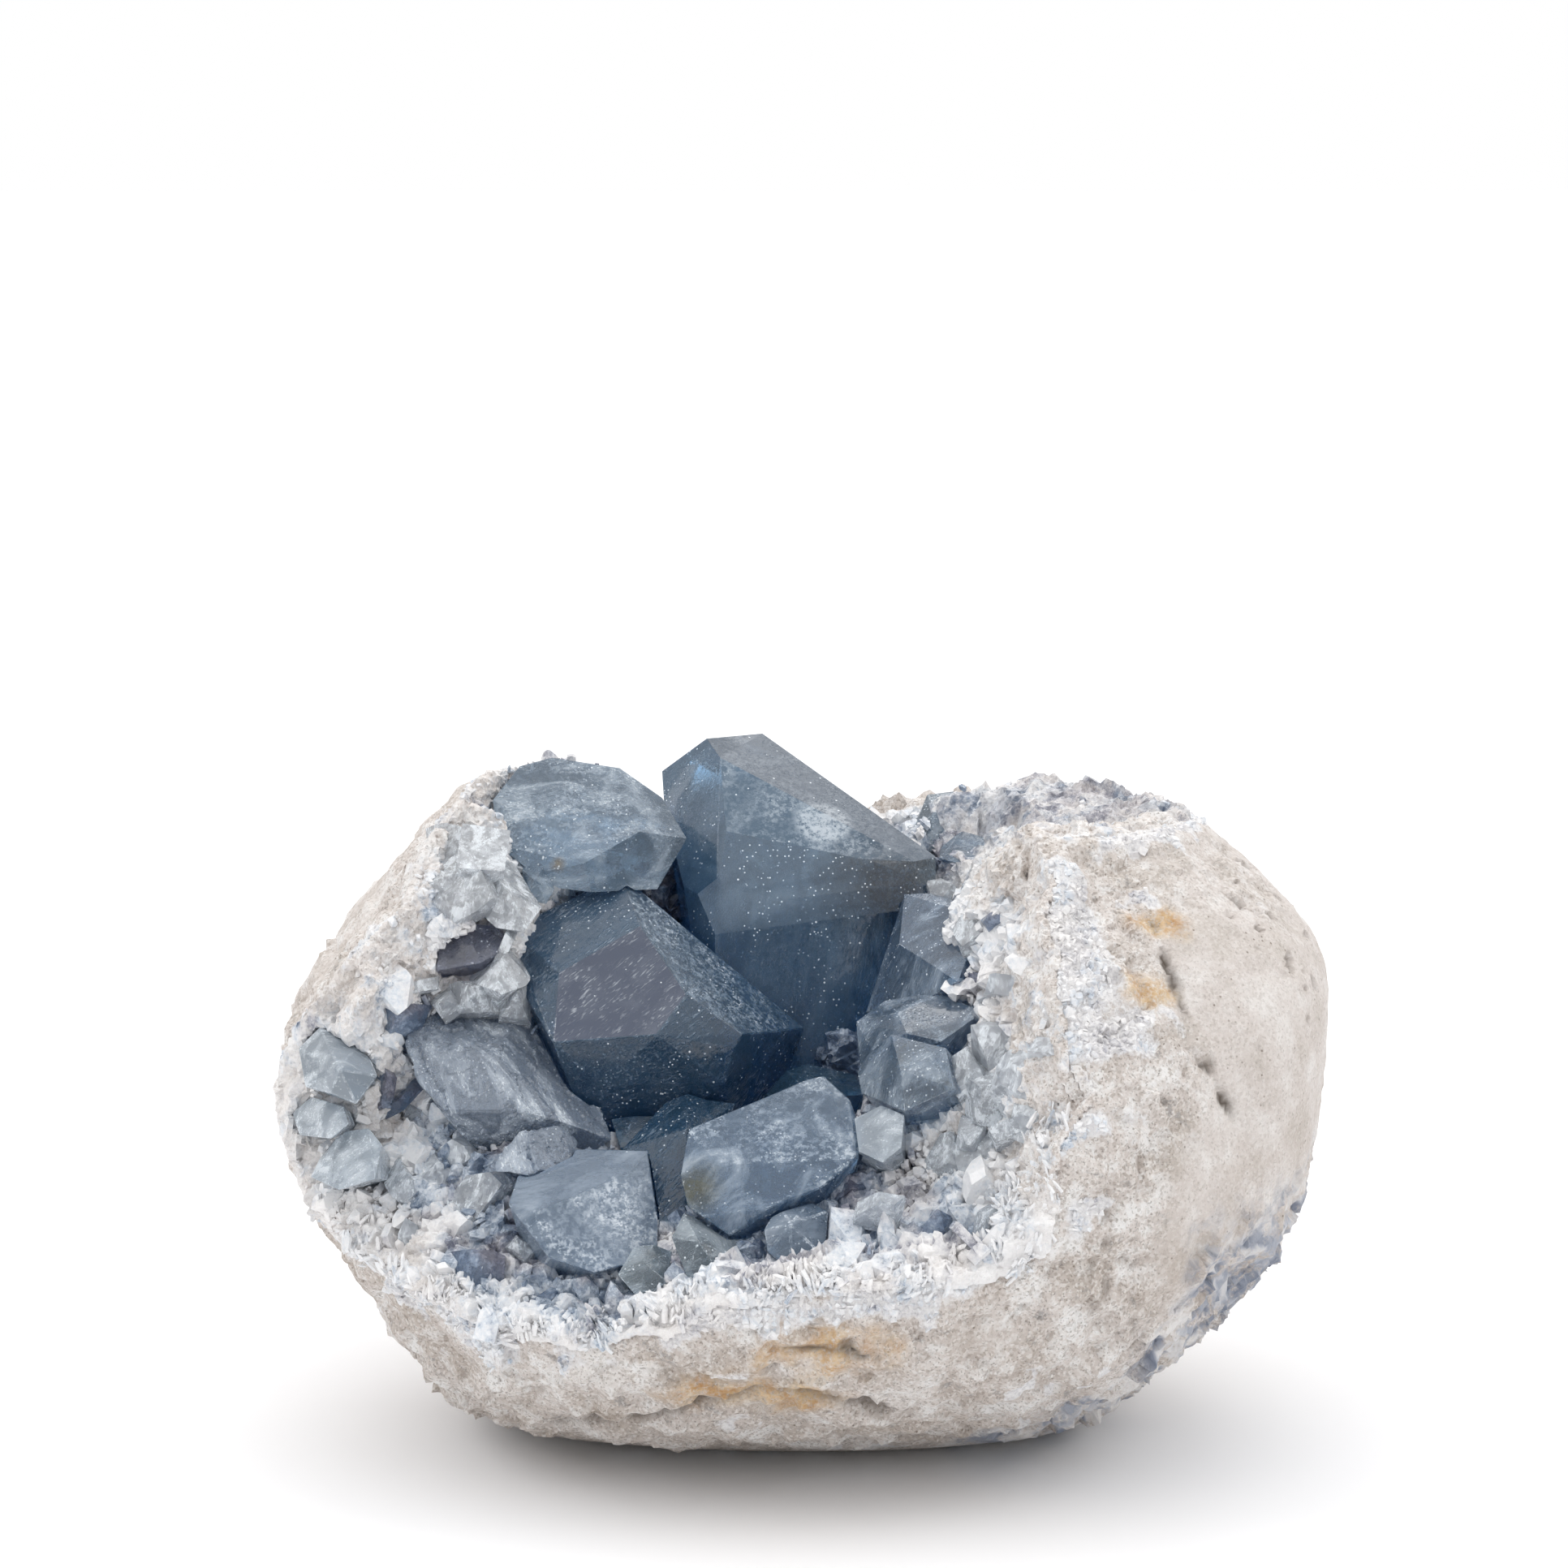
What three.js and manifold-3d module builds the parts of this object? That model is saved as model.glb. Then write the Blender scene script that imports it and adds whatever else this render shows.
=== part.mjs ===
// Celestite crystal cluster: a broken marl nodule whose hollow is lined with a celestite crust
// and filled with large blue tabular crystals. Lengths in mm, +Z up.
import * as THREE from "three";
import { ConvexGeometry } from "three/addons/geometries/ConvexGeometry.js";
import { mergeVertices } from "three/addons/utils/BufferGeometryUtils.js";
import Module from "manifold-3d";

const wasm = await Module();
wasm.setup();

// Driving dimensions
const FIT_GAP = 0.35; // clearance between two grown pieces
const RINGS = 26; // rings up the nodule
const RING_POINTS = 52; // points round a ring
const ROUNDNESS = 2.3; // power of the ring outline, 2 is an ellipse
const NODULE_TOP = 99;

// The nodule's reach to the left, right, front and back at each height
const REACHES = [
  [0, 32, 34, 15, 26],
  [1.2, 41, 39, 19, 30],
  [4, 49, 44, 26, 36],
  [8, 53.5, 48, 36, 43],
  [14, 57.5, 53, 46, 48],
  [20, 60.5, 59.5, 52, 52],
  [30, 66.5, 67, 56, 55],
  [40, 72, 70.5, 58, 56],
  [50, 74.5, 72, 57, 56],
  [60, 72, 73, 54, 54],
  [68, 67.5, 72.5, 49, 51],
  [76, 60.5, 67.5, 42, 46],
  [84, 54, 58, 32, 40],
  [90, 48, 46, 22, 33],
  [94, 42, 34, 12, 26],
  [98, 30, 24, 2, 15],
];

// The broken mouth faces forward and up; heights are measured square to it
const MOUTH_ORIGIN = new THREE.Vector3(0, -52, 33);
const MOUTH_UP_SLOPE = new THREE.Vector3(0, 0.8, 0.6);
const MOUTH_NORMAL = new THREE.Vector3(0, -0.6, 0.8);
const MOUTH_GRID = { left: -84, right: 60, low: -24, high: 120, step: 6, top: 90 };

// Across, up the slope, height of the crust there, thickness of the crust
const MOUTH_RIM = [
  [0, -3, 5.5, 1.5], [-10, -3, 4, 1.5], [-21, -5, -2, 1.5], [-32, -4, -6, 1.5], [-46, 2, -8, 1.5],
  [-53, 8, -9, 1.5], [-60, 18, -12, 1.5], [-67, 32, -21, 1.5], [-72, 41, -9, 1.5],
  [-70, 43, -1, 1.5], [-63, 38, 9, 1.5], [-60, 43, 13, 1.5], [-54, 52, 16, 1.5],
  [-50, 60, 18, 1.5], [-46, 74, 17, 1.5], [-35, 94, 5, 1.5], [-15, 100, -8, 1.5],
  [10, 99, -9, 1.5], [24, 71, 9, 1.5], [26, 55, 24, 1.5], [29, 41, 26, 1.5], [31, 30, 24, 1.5],
  [33, 16, 14, 1.5], [33, 6, 11, 1.5], [31, 0, 5, 1.5], [21, -2, 5, 1.5], [11, -2, 6, 1.5],
];
const MOUTH_INSIDE = [
  [-46, 46, 0, 12], [-40, 35, -4, 12], [-50, 34, -6, 11], [-64, 32, -7, 7], [-60, 26, -11, 8],
  [-56, 39, -10, 7], [-54, 26, -8, 9], [-67, 37, -8, 5], [-54, 45, 7, 9], [-46, 62, 9, 12],
  [-44, 16, -7, 12], [-30, 19, -6, 14], [-30, 8, -6, 10], [-5, 23, -5, 14], [-5, 10, -2, 10],
  [10, 14, 0, 12], [-10, 43, -20, 8], [2, 43, -19, 8], [-20, 43, -18, 8], [14, 50, -2, 12],
  [15, 32, -2, 13], [21, 42, 8, 10], [19, 14, 2, 11], [22, 28, 7, 10], [-38, 77, 4, 12],
  [-25, 62, -12, 10], [0, 95, -15, 8], [-4, 70, -20, 8], [14, 68, -7, 9], [21, 56, 10, 10],
  [9, 59, -14, 8], [10, 64, -14, 8],
];
const MOUTH_OUTSIDE = [
  [-74, 56, 14, 0], [-66, 54, 24, 0], [-60, 66, 26, 0], [-54, 82, 26, 0], [-80, 44, 4, 0],
  [-78, 28, -18, 0], [37, 60, 40, 0], [38, 42, 38, 0], [39, 28, 34, 0], [39, 14, 28, 0],
  [40, 3, 20, 0], [38, 78, 30, 0], [36, 98, 12, 0], [-45, -10, -8, 0], [-68, 10, -16, 0],
  [0, -14, 6, 0], [30, -14, 6, 0], [-20, 116, 0, 0], [20, 116, 0, 0],
];

// Solids
function solidOf(geometry) {
  const bare = geometry.clone();
  bare.deleteAttribute("normal");
  bare.deleteAttribute("uv");
  const merged = mergeVertices(bare, 1e-4);
  const mesh = new wasm.Mesh({
    numProp: 3,
    vertProperties: new Float32Array(merged.attributes.position.array),
    triVerts: new Uint32Array(merged.index.array),
  });
  return new wasm.Manifold(mesh);
}

function biggestBody(solid) {
  const bodies = solid.decompose();
  bodies.sort((a, b) => b.volume() - a.volume());
  return bodies[0];
}

function geometryOf(solid) {
  const mesh = solid.getMesh();
  const geometry = new THREE.BufferGeometry();
  geometry.setAttribute("position", new THREE.BufferAttribute(new Float32Array(mesh.vertProperties), 3));
  geometry.setIndex(new THREE.BufferAttribute(new Uint32Array(mesh.triVerts), 1));
  geometry.computeVertexNormals();
  return geometry;
}

function ellipsoid(centre, reach) {
  const geometry = new THREE.SphereGeometry(1, 36, 24);
  geometry.scale(reach.x, reach.y, reach.z);
  geometry.translate(centre.x, centre.y, centre.z);
  return solidOf(geometry);
}

// Nodule
function noduleOutline() {
  const heights = REACHES.map((row) => row[0]);
  const values = REACHES.flatMap((row) => row.slice(1));
  const reachAt = new THREE.CubicInterpolant(heights, values, 4, new Float32Array(4));
  const rings = [];
  for (let i = 0; i < RINGS; i += 1) {
    const z = 98 * Math.pow(i / (RINGS - 1), 1.1);
    const [left, right, front, back] = reachAt.evaluate(z);
    const ring = [];
    for (let k = 0; k < RING_POINTS; k += 1) {
      const turn = (k / RING_POINTS) * 2 * Math.PI;
      const c = Math.cos(turn);
      const s = Math.sin(turn);
      const across = (c > 0 ? right : left) * Math.sign(c) * Math.pow(Math.abs(c), 2 / ROUNDNESS);
      const deep = (s > 0 ? back : front) * Math.sign(s) * Math.pow(Math.abs(s), 2 / ROUNDNESS);
      ring.push([across, deep, z]);
    }
    rings.push(ring);
  }
  return rings;
}

function nodule() {
  const rings = noduleOutline();
  const corners = rings.flat();
  const faces = [];
  for (let i = 0; i + 1 < rings.length; i += 1) {
    for (let k = 0; k < RING_POINTS; k += 1) {
      const next = (k + 1) % RING_POINTS;
      const a = i * RING_POINTS + k;
      const b = i * RING_POINTS + next;
      faces.push(a, b, b + RING_POINTS, a, b + RING_POINTS, a + RING_POINTS);
    }
  }
  const below = corners.push([2, 5, 0]) - 1;
  const above = corners.push([0, 7, NODULE_TOP]) - 1;
  const last = (rings.length - 1) * RING_POINTS;
  for (let k = 0; k < RING_POINTS; k += 1) {
    const next = (k + 1) % RING_POINTS;
    faces.push(below, next, k, above, last + k, last + next);
  }
  const geometry = new THREE.BufferGeometry();
  geometry.setAttribute("position", new THREE.Float32BufferAttribute(corners.flat(), 3));
  geometry.setIndex(faces);
  return solidOf(geometry);
}

// The mouth's surface: heights between the measured places, near ones counting most
function mouthHeights(across, along) {
  let share = 0;
  let height = 0;
  let thickness = 0;
  for (const [a, b, h, t] of [...MOUTH_RIM, ...MOUTH_INSIDE, ...MOUTH_OUTSIDE]) {
    const weight = 1 / Math.pow((across - a) ** 2 + (along - b) ** 2 + 6, 2);
    share += weight;
    height += weight * h;
    thickness += weight * t;
  }
  return [height / share, thickness / share];
}

// Everything above the crust (depth 0) or above the bottom of the crust (depth 1)
function aboveMouth(depth, lift) {
  const { left, right, low, high, step, top } = MOUTH_GRID;
  const columns = Math.round((right - left) / step) + 1;
  const rows = Math.round((high - low) / step) + 1;
  const places = [];
  const put = (across, along, height) => {
    const point = MOUTH_ORIGIN.clone().addScaledVector(MOUTH_UP_SLOPE, along);
    point.addScaledVector(MOUTH_NORMAL, height);
    places.push(point.x + across, point.y, point.z);
  };
  for (let level = 0; level < 2; level += 1) {
    for (let j = 0; j < rows; j += 1) {
      for (let i = 0; i < columns; i += 1) {
        const across = left + i * step;
        const along = low + j * step;
        const [height, thickness] = mouthHeights(across, along);
        put(across, along, level === 0 ? height - thickness * depth + lift : top);
      }
    }
  }
  const at = (i, j, level) => level * rows * columns + j * columns + i;
  const faces = [];
  const quad = (a, b, c, d) => faces.push(a, b, c, a, c, d);
  for (let j = 0; j + 1 < rows; j += 1) {
    for (let i = 0; i + 1 < columns; i += 1) {
      quad(at(i, j, 0), at(i, j + 1, 0), at(i + 1, j + 1, 0), at(i + 1, j, 0));
      quad(at(i, j, 1), at(i + 1, j, 1), at(i + 1, j + 1, 1), at(i, j + 1, 1));
    }
  }
  for (let i = 0; i + 1 < columns; i += 1) {
    quad(at(i, 0, 0), at(i + 1, 0, 0), at(i + 1, 0, 1), at(i, 0, 1));
    quad(at(i + 1, rows - 1, 0), at(i, rows - 1, 0), at(i, rows - 1, 1), at(i + 1, rows - 1, 1));
  }
  for (let j = 0; j + 1 < rows; j += 1) {
    quad(at(0, j + 1, 0), at(0, j, 0), at(0, j, 1), at(0, j + 1, 1));
    quad(at(columns - 1, j, 0), at(columns - 1, j + 1, 0), at(columns - 1, j + 1, 1), at(columns - 1, j, 1));
  }
  const geometry = new THREE.BufferGeometry();
  geometry.setAttribute("position", new THREE.Float32BufferAttribute(places, 3));
  geometry.setIndex(faces);
  return solidOf(geometry);
}

// Crystals: corners of each convex crystal, measured on the object
const CRYSTALS = {
  great_crystal: [
    [
      [-14.5, 23.5, 94.5], [-6.5, 28.5, 94.5], [-12.5, 18.5, 92.5], [-11.5, 8.5, 83.5],
      [7, 11, 82.5], [0.5, 16, 88], [18, 8, 80], [18.5, 4, 78], [-21, 25, 89.5],
      [-20.5, 19, 84.5], [-17.5, 6.5, 76], [-13, 0.5, 74.5], [11, 3.5, 73], [17, 2.5, 66],
      [14.5, -0.5, 54], [-13, -3, 49.5], [-11.5, 38, 84], [11, 38, 72.5], [2, 32, 40],
      [-15, 28, 40], [15, 2.5, 73.5], [10, -1.5, 38], [-12, -4, 38],
    ],
  ],
  centre_crystal: [
    [
      [-26, -1, 79], [-0.5, -5, 58], [-23, -10, 73.5], [-34, -15.5, 68], [-34.5, -23.5, 60],
      [-20.5, -22.6, 60.85], [-16.5, -18, 65.5], [-9, -18.5, 60], [-15.5, -21, 58],
      [-10, -19.5, 58.5], [-41.5, -7.5, 72.5], [-39.6, -14, 66], [-28, -21.5, 53.5],
      [-11.5, -19.5, 53.5], [-6.5, -8.5, 49], [-2, -4.5, 53.5], [-34.5, 14, 46.5],
      [-11, 14, 41.5], [-40, 16, 64], [-23, 20, 71.5], [-28, -16, 40], [-8, -6, 38],
    ],
  ],
  left_crest_crystals: [
    [
      [-36, 8.5, 94], [-29.5, 8, 92.5], [-26.5, 8.5, 92.5], [-20.5, 7, 88.5], [-17, 2.5, 83.5],
      [-17.5, 2, 82.5], [-21, -1.5, 77], [-25.5, -3.5, 79.5], [-30, -6.5, 77.5], [-34.5, -6, 78],
      [-23.5, -1, 85], [-40.5, 7, 93], [-44, 2, 89], [-43, -3, 83.5], [-38, -6, 80],
      [-31, -6.5, 81.5], [-37, 26, 90], [-23, 24, 85.5], [-22.5, 18, 76.5], [-41.5, 20, 79.5],
    ],
    [
      [-46.5, -8, 78.5], [-44, -6, 80.5], [-40.5, -7, 78.5], [-40, -10, 75.5], [-42, -13, 74],
      [-44.5, -12, 75], [-43.5, -13, 78.5], [-44, 6, 84], [-39, 6, 82],
    ],
    [
      [-39.5, -6, 80.5], [-36.5, -5, 81], [-35, -7, 78], [-36, -10, 76.5], [-38.5, -10, 77],
      [-37.5, -11, 80], [-38.5, 6, 83],
    ],
  ],
  left_wall_crystals: [
    [
      [-54.5, -16.5, 63], [-47, -10, 63.5], [-38, -7.5, 63], [-36.5, -13.5, 59], [-33, -16.5, 55.5],
      [-29.5, -18, 52.5], [-26.5, -25.5, 47], [-32.5, -28.5, 50], [-38.5, -30, 52], [-49, -30, 52],
      [-52.5, -27, 55.5], [-54.5, -22, 59.5], [-42.5, -24, 58.5], [-50, 8, 57], [-36.5, 6, 50.5],
      [-28.5, -8, 43.5], [-51.5, -8, 49], [-40, -16, 36],
    ],
    [
      [-43, -36, 45.5], [-38.5, -33, 50], [-33.5, -31, 50.5], [-31, -30, 48], [-31.5, -34, 45.5],
      [-37.5, -37, 45], [-39.5, -18, 43], [-33, -16, 42],
    ],
  ],
  upper_wall_crystal: [
    [
      [-50, -15, 73], [-47, -14, 74.5], [-42.5, -13, 74], [-41, -15, 71.5], [-44.5, -19, 70],
      [-50.5, -19, 69], [-51, 2, 60], [-43, 4, 60],
    ],
  ],
  left_rim_crystal_upper: [
    [
      [-69.5, -18, 58], [-66.5, -18, 61], [-61, -21, 59.5], [-59, -24, 57.5], [-58, -26, 56],
      [-60.5, -30, 53], [-64, -30, 54.5], [-68, -24, 54], [-62.5, -31, 58], [-66, 0, 52], [-60, -2, 50],
    ],
  ],
  left_rim_crystal_middle: [
    [
      [-70.5, -18, 49], [-67.5, -21, 52], [-62.5, -27, 52], [-61.5, -31, 50.5], [-64, -31, 48.5],
      [-69, -23, 47], [-67.5, -4, 44], [-61, -6, 44],
    ],
  ],
  left_rim_crystal_lower: [
    [
      [-66, -26, 44.5], [-63, -27, 48.5], [-59, -29, 49.5], [-57, -32, 48], [-57.5, -37, 44.5],
      [-62.5, -35, 42.5], [-67, -28, 42.5], [-61, -10, 38], [-56, -12, 38],
    ],
  ],
  front_left_crystal: [
    [
      [-38, -33.5, 46.5], [-35.5, -32.5, 47], [-29.5, -32.5, 47.5], [-21.5, -33.5, 47.5],
      [-21, -35, 45], [-20, -39, 39.5], [-20, -41, 36.5], [-24, -45, 35], [-28, -47, 34.5],
      [-34, -47, 36.5], [-37.5, -44, 41], [-39.5, -42.5, 42.5], [-32, -39, 44.5], [-36, -44, 42],
      [-24, -37, 45.5], [-38.5, -20, 41.5], [-23, -18, 41], [-22.5, -24, 28], [-37, -28, 28],
    ],
  ],
  front_right_crystal: [
    [
      [-16, -34, 50.5], [-0.5, -26.5, 55.5], [2, -26, 56], [5.5, -29.5, 53.5], [7, -34.5, 50],
      [-2.5, -39, 47], [-12, -39.5, 47], [-15, -36, 49], [-17, -39.5, 45.5], [-16, -43.5, 42.5],
      [-14, -45, 41.5], [-10.5, -45, 39], [-5.5, -44.5, 42.5], [-12, -43, 43.5], [6.5, -39, 48],
      [1.5, -42, 44.5], [-14, -22, 44.5], [0.5, -12, 50], [6, -18, 45.5], [-10.5, -26, 32],
      [4, -26, 34],
    ],
  ],
  front_crystal_left: [
    [
      [-23, -45, 37.5], [-20.5, -44, 37.5], [-18, -44, 36.5], [-18.5, -48, 33.5], [-22, -50, 31.5],
      [-25, -48, 34.5], [-21.5, -48, 36], [-23.5, -34, 28], [-19.5, -34, 28],
    ],
  ],
  front_crystal_middle: [
    [
      [-16.5, -43, 41.5], [-13.5, -42, 40], [-8.5, -42, 38], [-6.5, -45, 34.5], [-10.5, -49, 33],
      [-16, -49, 34.5], [-18, -46, 39], [-14.5, -48, 39], [-16, -34, 30], [-9, -34, 29],
    ],
  ],
  front_crystal_right: [
    [
      [-4, -42, 42.5], [0, -41, 42.5], [2.5, -42, 41.5], [2, -47, 36.5], [-2.5, -49, 35.5],
      [-5.5, -48, 37.5], [-6, -46, 40], [-2.5, -47, 41], [-4, -32, 30], [1.5, -32, 30],
    ],
  ],
  floor_crystal_dark: [
    [
      [-28.5, -15, 52.5], [-21, -13, 54.5], [-17.5, -14, 52.5], [-25.5, -24, 45.5], [-20, -22, 46.5],
      [-27, -8, 40], [-19, -8, 40], [-23, -14, 34],
    ],
  ],
  floor_crystal_violet: [
    [
      [-16.5, -17, 53.5], [-25, -26, 46], [-16.5, -27.5, 49], [-11, -15, 51.5], [-10, -17, 50],
      [-14.5, -25.5, 49], [-21, -37, 37.5], [-24.5, -32, 41.5], [-16.5, -36, 38.5], [-16.5, -8, 43.5],
      [-22.5, -16, 32], [-18.5, -20, 32],
    ],
  ],
  floor_crystal_right: [
    [
      [-6, -14, 50.5], [-3, -12, 53.5], [0, -10, 54], [6.5, -10, 52.5], [7.5, -18, 51.5],
      [0.5, -22, 52], [-4, -2, 40], [6, -2, 40], [0.5, -12, 34],
    ],
  ],
  right_wall_crystals: [
    [
      [13.5, 0, 76], [17, -2, 76.5], [21, -9.5, 75.5], [23.5, -14.5, 74.5], [20, -24, 68.5],
      [16.5, -19.5, 65.5], [10.5, -11.5, 63], [8, -8.5, 61], [10.5, -4, 67.5], [12.5, -10.5, 71],
      [30, 12, 70.5], [32, 0, 63.5], [16, 6, 50], [20, 14, 72.5],
    ],
    [
      [6.5, -17, 61.5], [10.5, -15, 64], [17.5, -19, 66], [21.5, -26, 65.5], [22, -29, 64.5],
      [17.5, -32, 62], [13, -29, 62.5], [8.5, -26, 59.5], [7, -24, 55.5], [12, -23, 64],
      [30, -8, 61], [14, -5, 46], [28, -12, 50],
    ],
    [
      [8, -28, 59.5], [11, -30, 62.5], [18, -36, 62], [19, -40, 57.5], [12.5, -40, 54.5],
      [7, -32, 55], [6.5, -28, 57], [12, -38, 59.5], [14, -14, 44], [28, -20, 48],
    ],
  ],
  right_foot_crystal: [
    [
      [6, -34, 52], [9.5, -35, 54], [12.5, -38, 53.5], [12, -42, 50], [9.5, -44, 48.5],
      [6.5, -40, 49], [8, -22, 40], [14, -24, 40],
    ],
  ],
  back_rim_crystal: [
    [
      [17.5, 29, 85.5], [21.5, 29, 86], [25, 27, 83], [24.5, 23, 80.5], [21, 19, 79], [17, 17, 79],
      [15, 21, 81], [18.5, 22, 84], [19, 38, 74], [27, 38, 74],
    ],
  ],
  back_rim_chunk: [
    [
      [19, 13, 80.5], [22, 15, 82.5], [25.5, 15, 81.5], [25.5, 11, 80], [21.5, 7, 79], [18.5, 9, 79.5],
      [25, 26, 72],
    ],
  ],
};

function corners(points) {
  return points.map((p) => new THREE.Vector3(...p));
}

// A crystal grown outward by a small gap, for the socket it sits in
function grown(points, gap) {
  const list = corners(points);
  const middle = new THREE.Vector3();
  list.forEach((p) => middle.addScaledVector(p, 1 / list.length));
  return solidOf(new ConvexGeometry(list.map((p) => p.add(p.clone().sub(middle).setLength(gap)))));
}

const ROCK = { color: 0xd6cdc2, roughness: 0.95 };
const CRUST = { color: 0xc3cbd4, roughness: 0.55 };
const PALE_CRYSTAL = { color: 0x8fa6b5, roughness: 0.2 };
const DEEP_CRYSTAL = { color: 0x4a6479, roughness: 0.15 };
const DEEP_ONES = new Set([
  "great_crystal", "centre_crystal", "floor_crystal_dark", "floor_crystal_violet", "floor_crystal_right",
]);

const nodes = new Map();
let taken = null; // the room that earlier crystals and their gap fill
for (const [name, crystals] of Object.entries(CRYSTALS)) {
  let body = wasm.Manifold.union(crystals.map((points) => solidOf(new ConvexGeometry(corners(points)))));
  if (taken) {
    body = biggestBody(body.subtract(taken));
  }
  nodes.set(name, body);
  const room = wasm.Manifold.union(crystals.map((points) => grown(points, FIT_GAP * 2)));
  taken = taken ? taken.add(room) : room;
}

// Rind and crust
const outside = nodule();
const backNotch = ellipsoid(new THREE.Vector3(-4, 38, 100), new THREE.Vector3(50, 28, 20));
const patchCentre = new THREE.Vector3(32, 4, 104);
const patchPocket = ellipsoid(patchCentre, new THREE.Vector3(38, 40, 22));
const patchCrust = ellipsoid(patchCentre, new THREE.Vector3(37.7, 39.7, 21.7));
const patchOpening = ellipsoid(patchCentre, new THREE.Vector3(35, 37, 19));
const pocket = aboveMouth(1, 0).add(patchPocket);
const crustRoom = aboveMouth(1, FIT_GAP).add(patchCrust);
const opening = aboveMouth(0, 0).add(patchOpening);
nodes.set("rock_rind", biggestBody(outside.subtract(pocket).subtract(backNotch).subtract(taken)));
nodes.set(
  "crystal_crust",
  biggestBody(outside.intersect(crustRoom).subtract(opening).subtract(backNotch).subtract(taken)),
);

const cluster = new THREE.Group();
cluster.name = "celestite_cluster";
for (const [name, solid] of nodes) {
  const finishes = { rock_rind: ROCK, crystal_crust: CRUST };
  const finish = finishes[name] ?? (DEEP_ONES.has(name) ? DEEP_CRYSTAL : PALE_CRYSTAL);
  const mesh = new THREE.Mesh(geometryOf(solid), new THREE.MeshStandardMaterial({ ...finish, metalness: 0 }));
  mesh.name = name;
  cluster.add(mesh);
}

// The origin is the middle of the bounding box's base
const bounds = new THREE.Box3().setFromObject(cluster);
const centre = bounds.getCenter(new THREE.Vector3());
cluster.position.set(-centre.x, -centre.y, -bounds.min.z);

export default cluster;
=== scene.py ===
# %% [markdown]
# # A celestite crystal cluster
# Half of a broken marl nodule. Its hollow is lined with white, sugary celestite,
# and large blue crystals stand in it. Everything here is in metres, and the
# CAD model says where each piece is, so this script only gives it its skin.

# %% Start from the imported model
import itertools
import math

import bpy
import numpy as np
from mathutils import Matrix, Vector, kdtree
from mathutils.bvhtree import BVHTree


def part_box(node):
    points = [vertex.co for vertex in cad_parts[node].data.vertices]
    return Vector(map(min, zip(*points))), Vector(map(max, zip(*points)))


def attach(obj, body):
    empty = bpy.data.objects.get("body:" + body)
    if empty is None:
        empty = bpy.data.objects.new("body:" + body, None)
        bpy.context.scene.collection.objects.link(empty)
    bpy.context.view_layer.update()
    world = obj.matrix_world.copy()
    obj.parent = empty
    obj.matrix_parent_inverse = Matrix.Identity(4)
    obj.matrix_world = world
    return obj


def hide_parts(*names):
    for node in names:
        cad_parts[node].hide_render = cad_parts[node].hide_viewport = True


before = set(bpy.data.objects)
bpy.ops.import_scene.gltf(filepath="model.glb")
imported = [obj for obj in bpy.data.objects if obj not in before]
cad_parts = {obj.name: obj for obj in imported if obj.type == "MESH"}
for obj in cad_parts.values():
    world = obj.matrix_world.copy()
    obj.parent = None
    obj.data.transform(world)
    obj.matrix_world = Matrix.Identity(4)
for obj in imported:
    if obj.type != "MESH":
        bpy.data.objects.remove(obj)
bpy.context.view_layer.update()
MM = 0.001

# %% [markdown]
# ## Small tools
# A mesh is easier to shape when its points are one table of numbers, so the
# first helpers read and write that table. The others pick an object, carry out
# a modifier, and copy a CAD node. A CAD node is loose triangles, so a copy has
# its doubles merged before anything else.


# %% Reading and writing points
def table_of(piece, what):
    """One row of three numbers for each point: its place, co, or its normal."""
    table = np.zeros(len(piece.data.vertices) * 3)
    piece.data.vertices.foreach_get(what, table)
    return table.reshape(-1, 3)


def points_of(piece):
    """Where the points are."""
    return table_of(piece, "co")


def normals_of(piece):
    """Which way is outward at each point."""
    return table_of(piece, "normal")


def put_points(piece, table):
    """Moves every point to its place in the table."""
    piece.data.vertices.foreach_set("co", table.reshape(-1))
    piece.data.update()


def write_attribute(piece, name, values):
    """Leaves a note on each point that a material can read."""
    layer = piece.data.attributes.new(name, "FLOAT", "POINT")
    layer.data.foreach_set("value", np.asarray(values, dtype=np.float32))


# %% Picking, copying and finishing a piece
def pick(piece):
    """Makes this the one selected and active object."""
    if bpy.context.object and bpy.context.object.mode != "OBJECT":
        bpy.ops.object.mode_set(mode="OBJECT")
    bpy.ops.object.select_all(action="DESELECT")
    piece.select_set(True)
    bpy.context.view_layer.objects.active = piece


def apply_modifier(piece, kind, **settings):
    """Adds a modifier with these settings and carries it out."""
    pick(piece)
    modifier = piece.modifiers.new(kind.title(), kind)
    for name, value in settings.items():
        setattr(modifier, name, value)
    bpy.ops.object.modifier_apply(modifier=modifier.name)


def copy_of_node(node_name, piece_name):
    """A copy of a CAD node with its loose triangles joined, and no notes or material."""
    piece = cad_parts[node_name].copy()
    piece.data = piece.data.copy()
    piece.parent = None
    piece.hide_render = piece.hide_viewport = False
    piece.name = piece_name
    piece.data.name = piece_name
    for key in list(piece.keys()):
        del piece[key]
    bpy.context.scene.collection.objects.link(piece)
    piece.data.materials.clear()
    pick(piece)
    bpy.ops.object.mode_set(mode="EDIT")
    bpy.ops.mesh.select_all(action="SELECT")
    bpy.ops.mesh.remove_doubles(threshold=0.01 * MM)
    bpy.ops.object.mode_set(mode="OBJECT")
    return piece


def finish_piece(piece, material, slot, *nodes):
    """Gives a piece its material, and lets it ride in the place of CAD nodes. The slot is not used.
    """
    piece.data.materials.clear()
    piece.data.materials.append(material)
    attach(piece, "root")
    if nodes:
        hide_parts(*nodes)


bpy.ops.object.select_all(action="DESELECT")
print("CAD nodes:", len(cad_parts))

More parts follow.
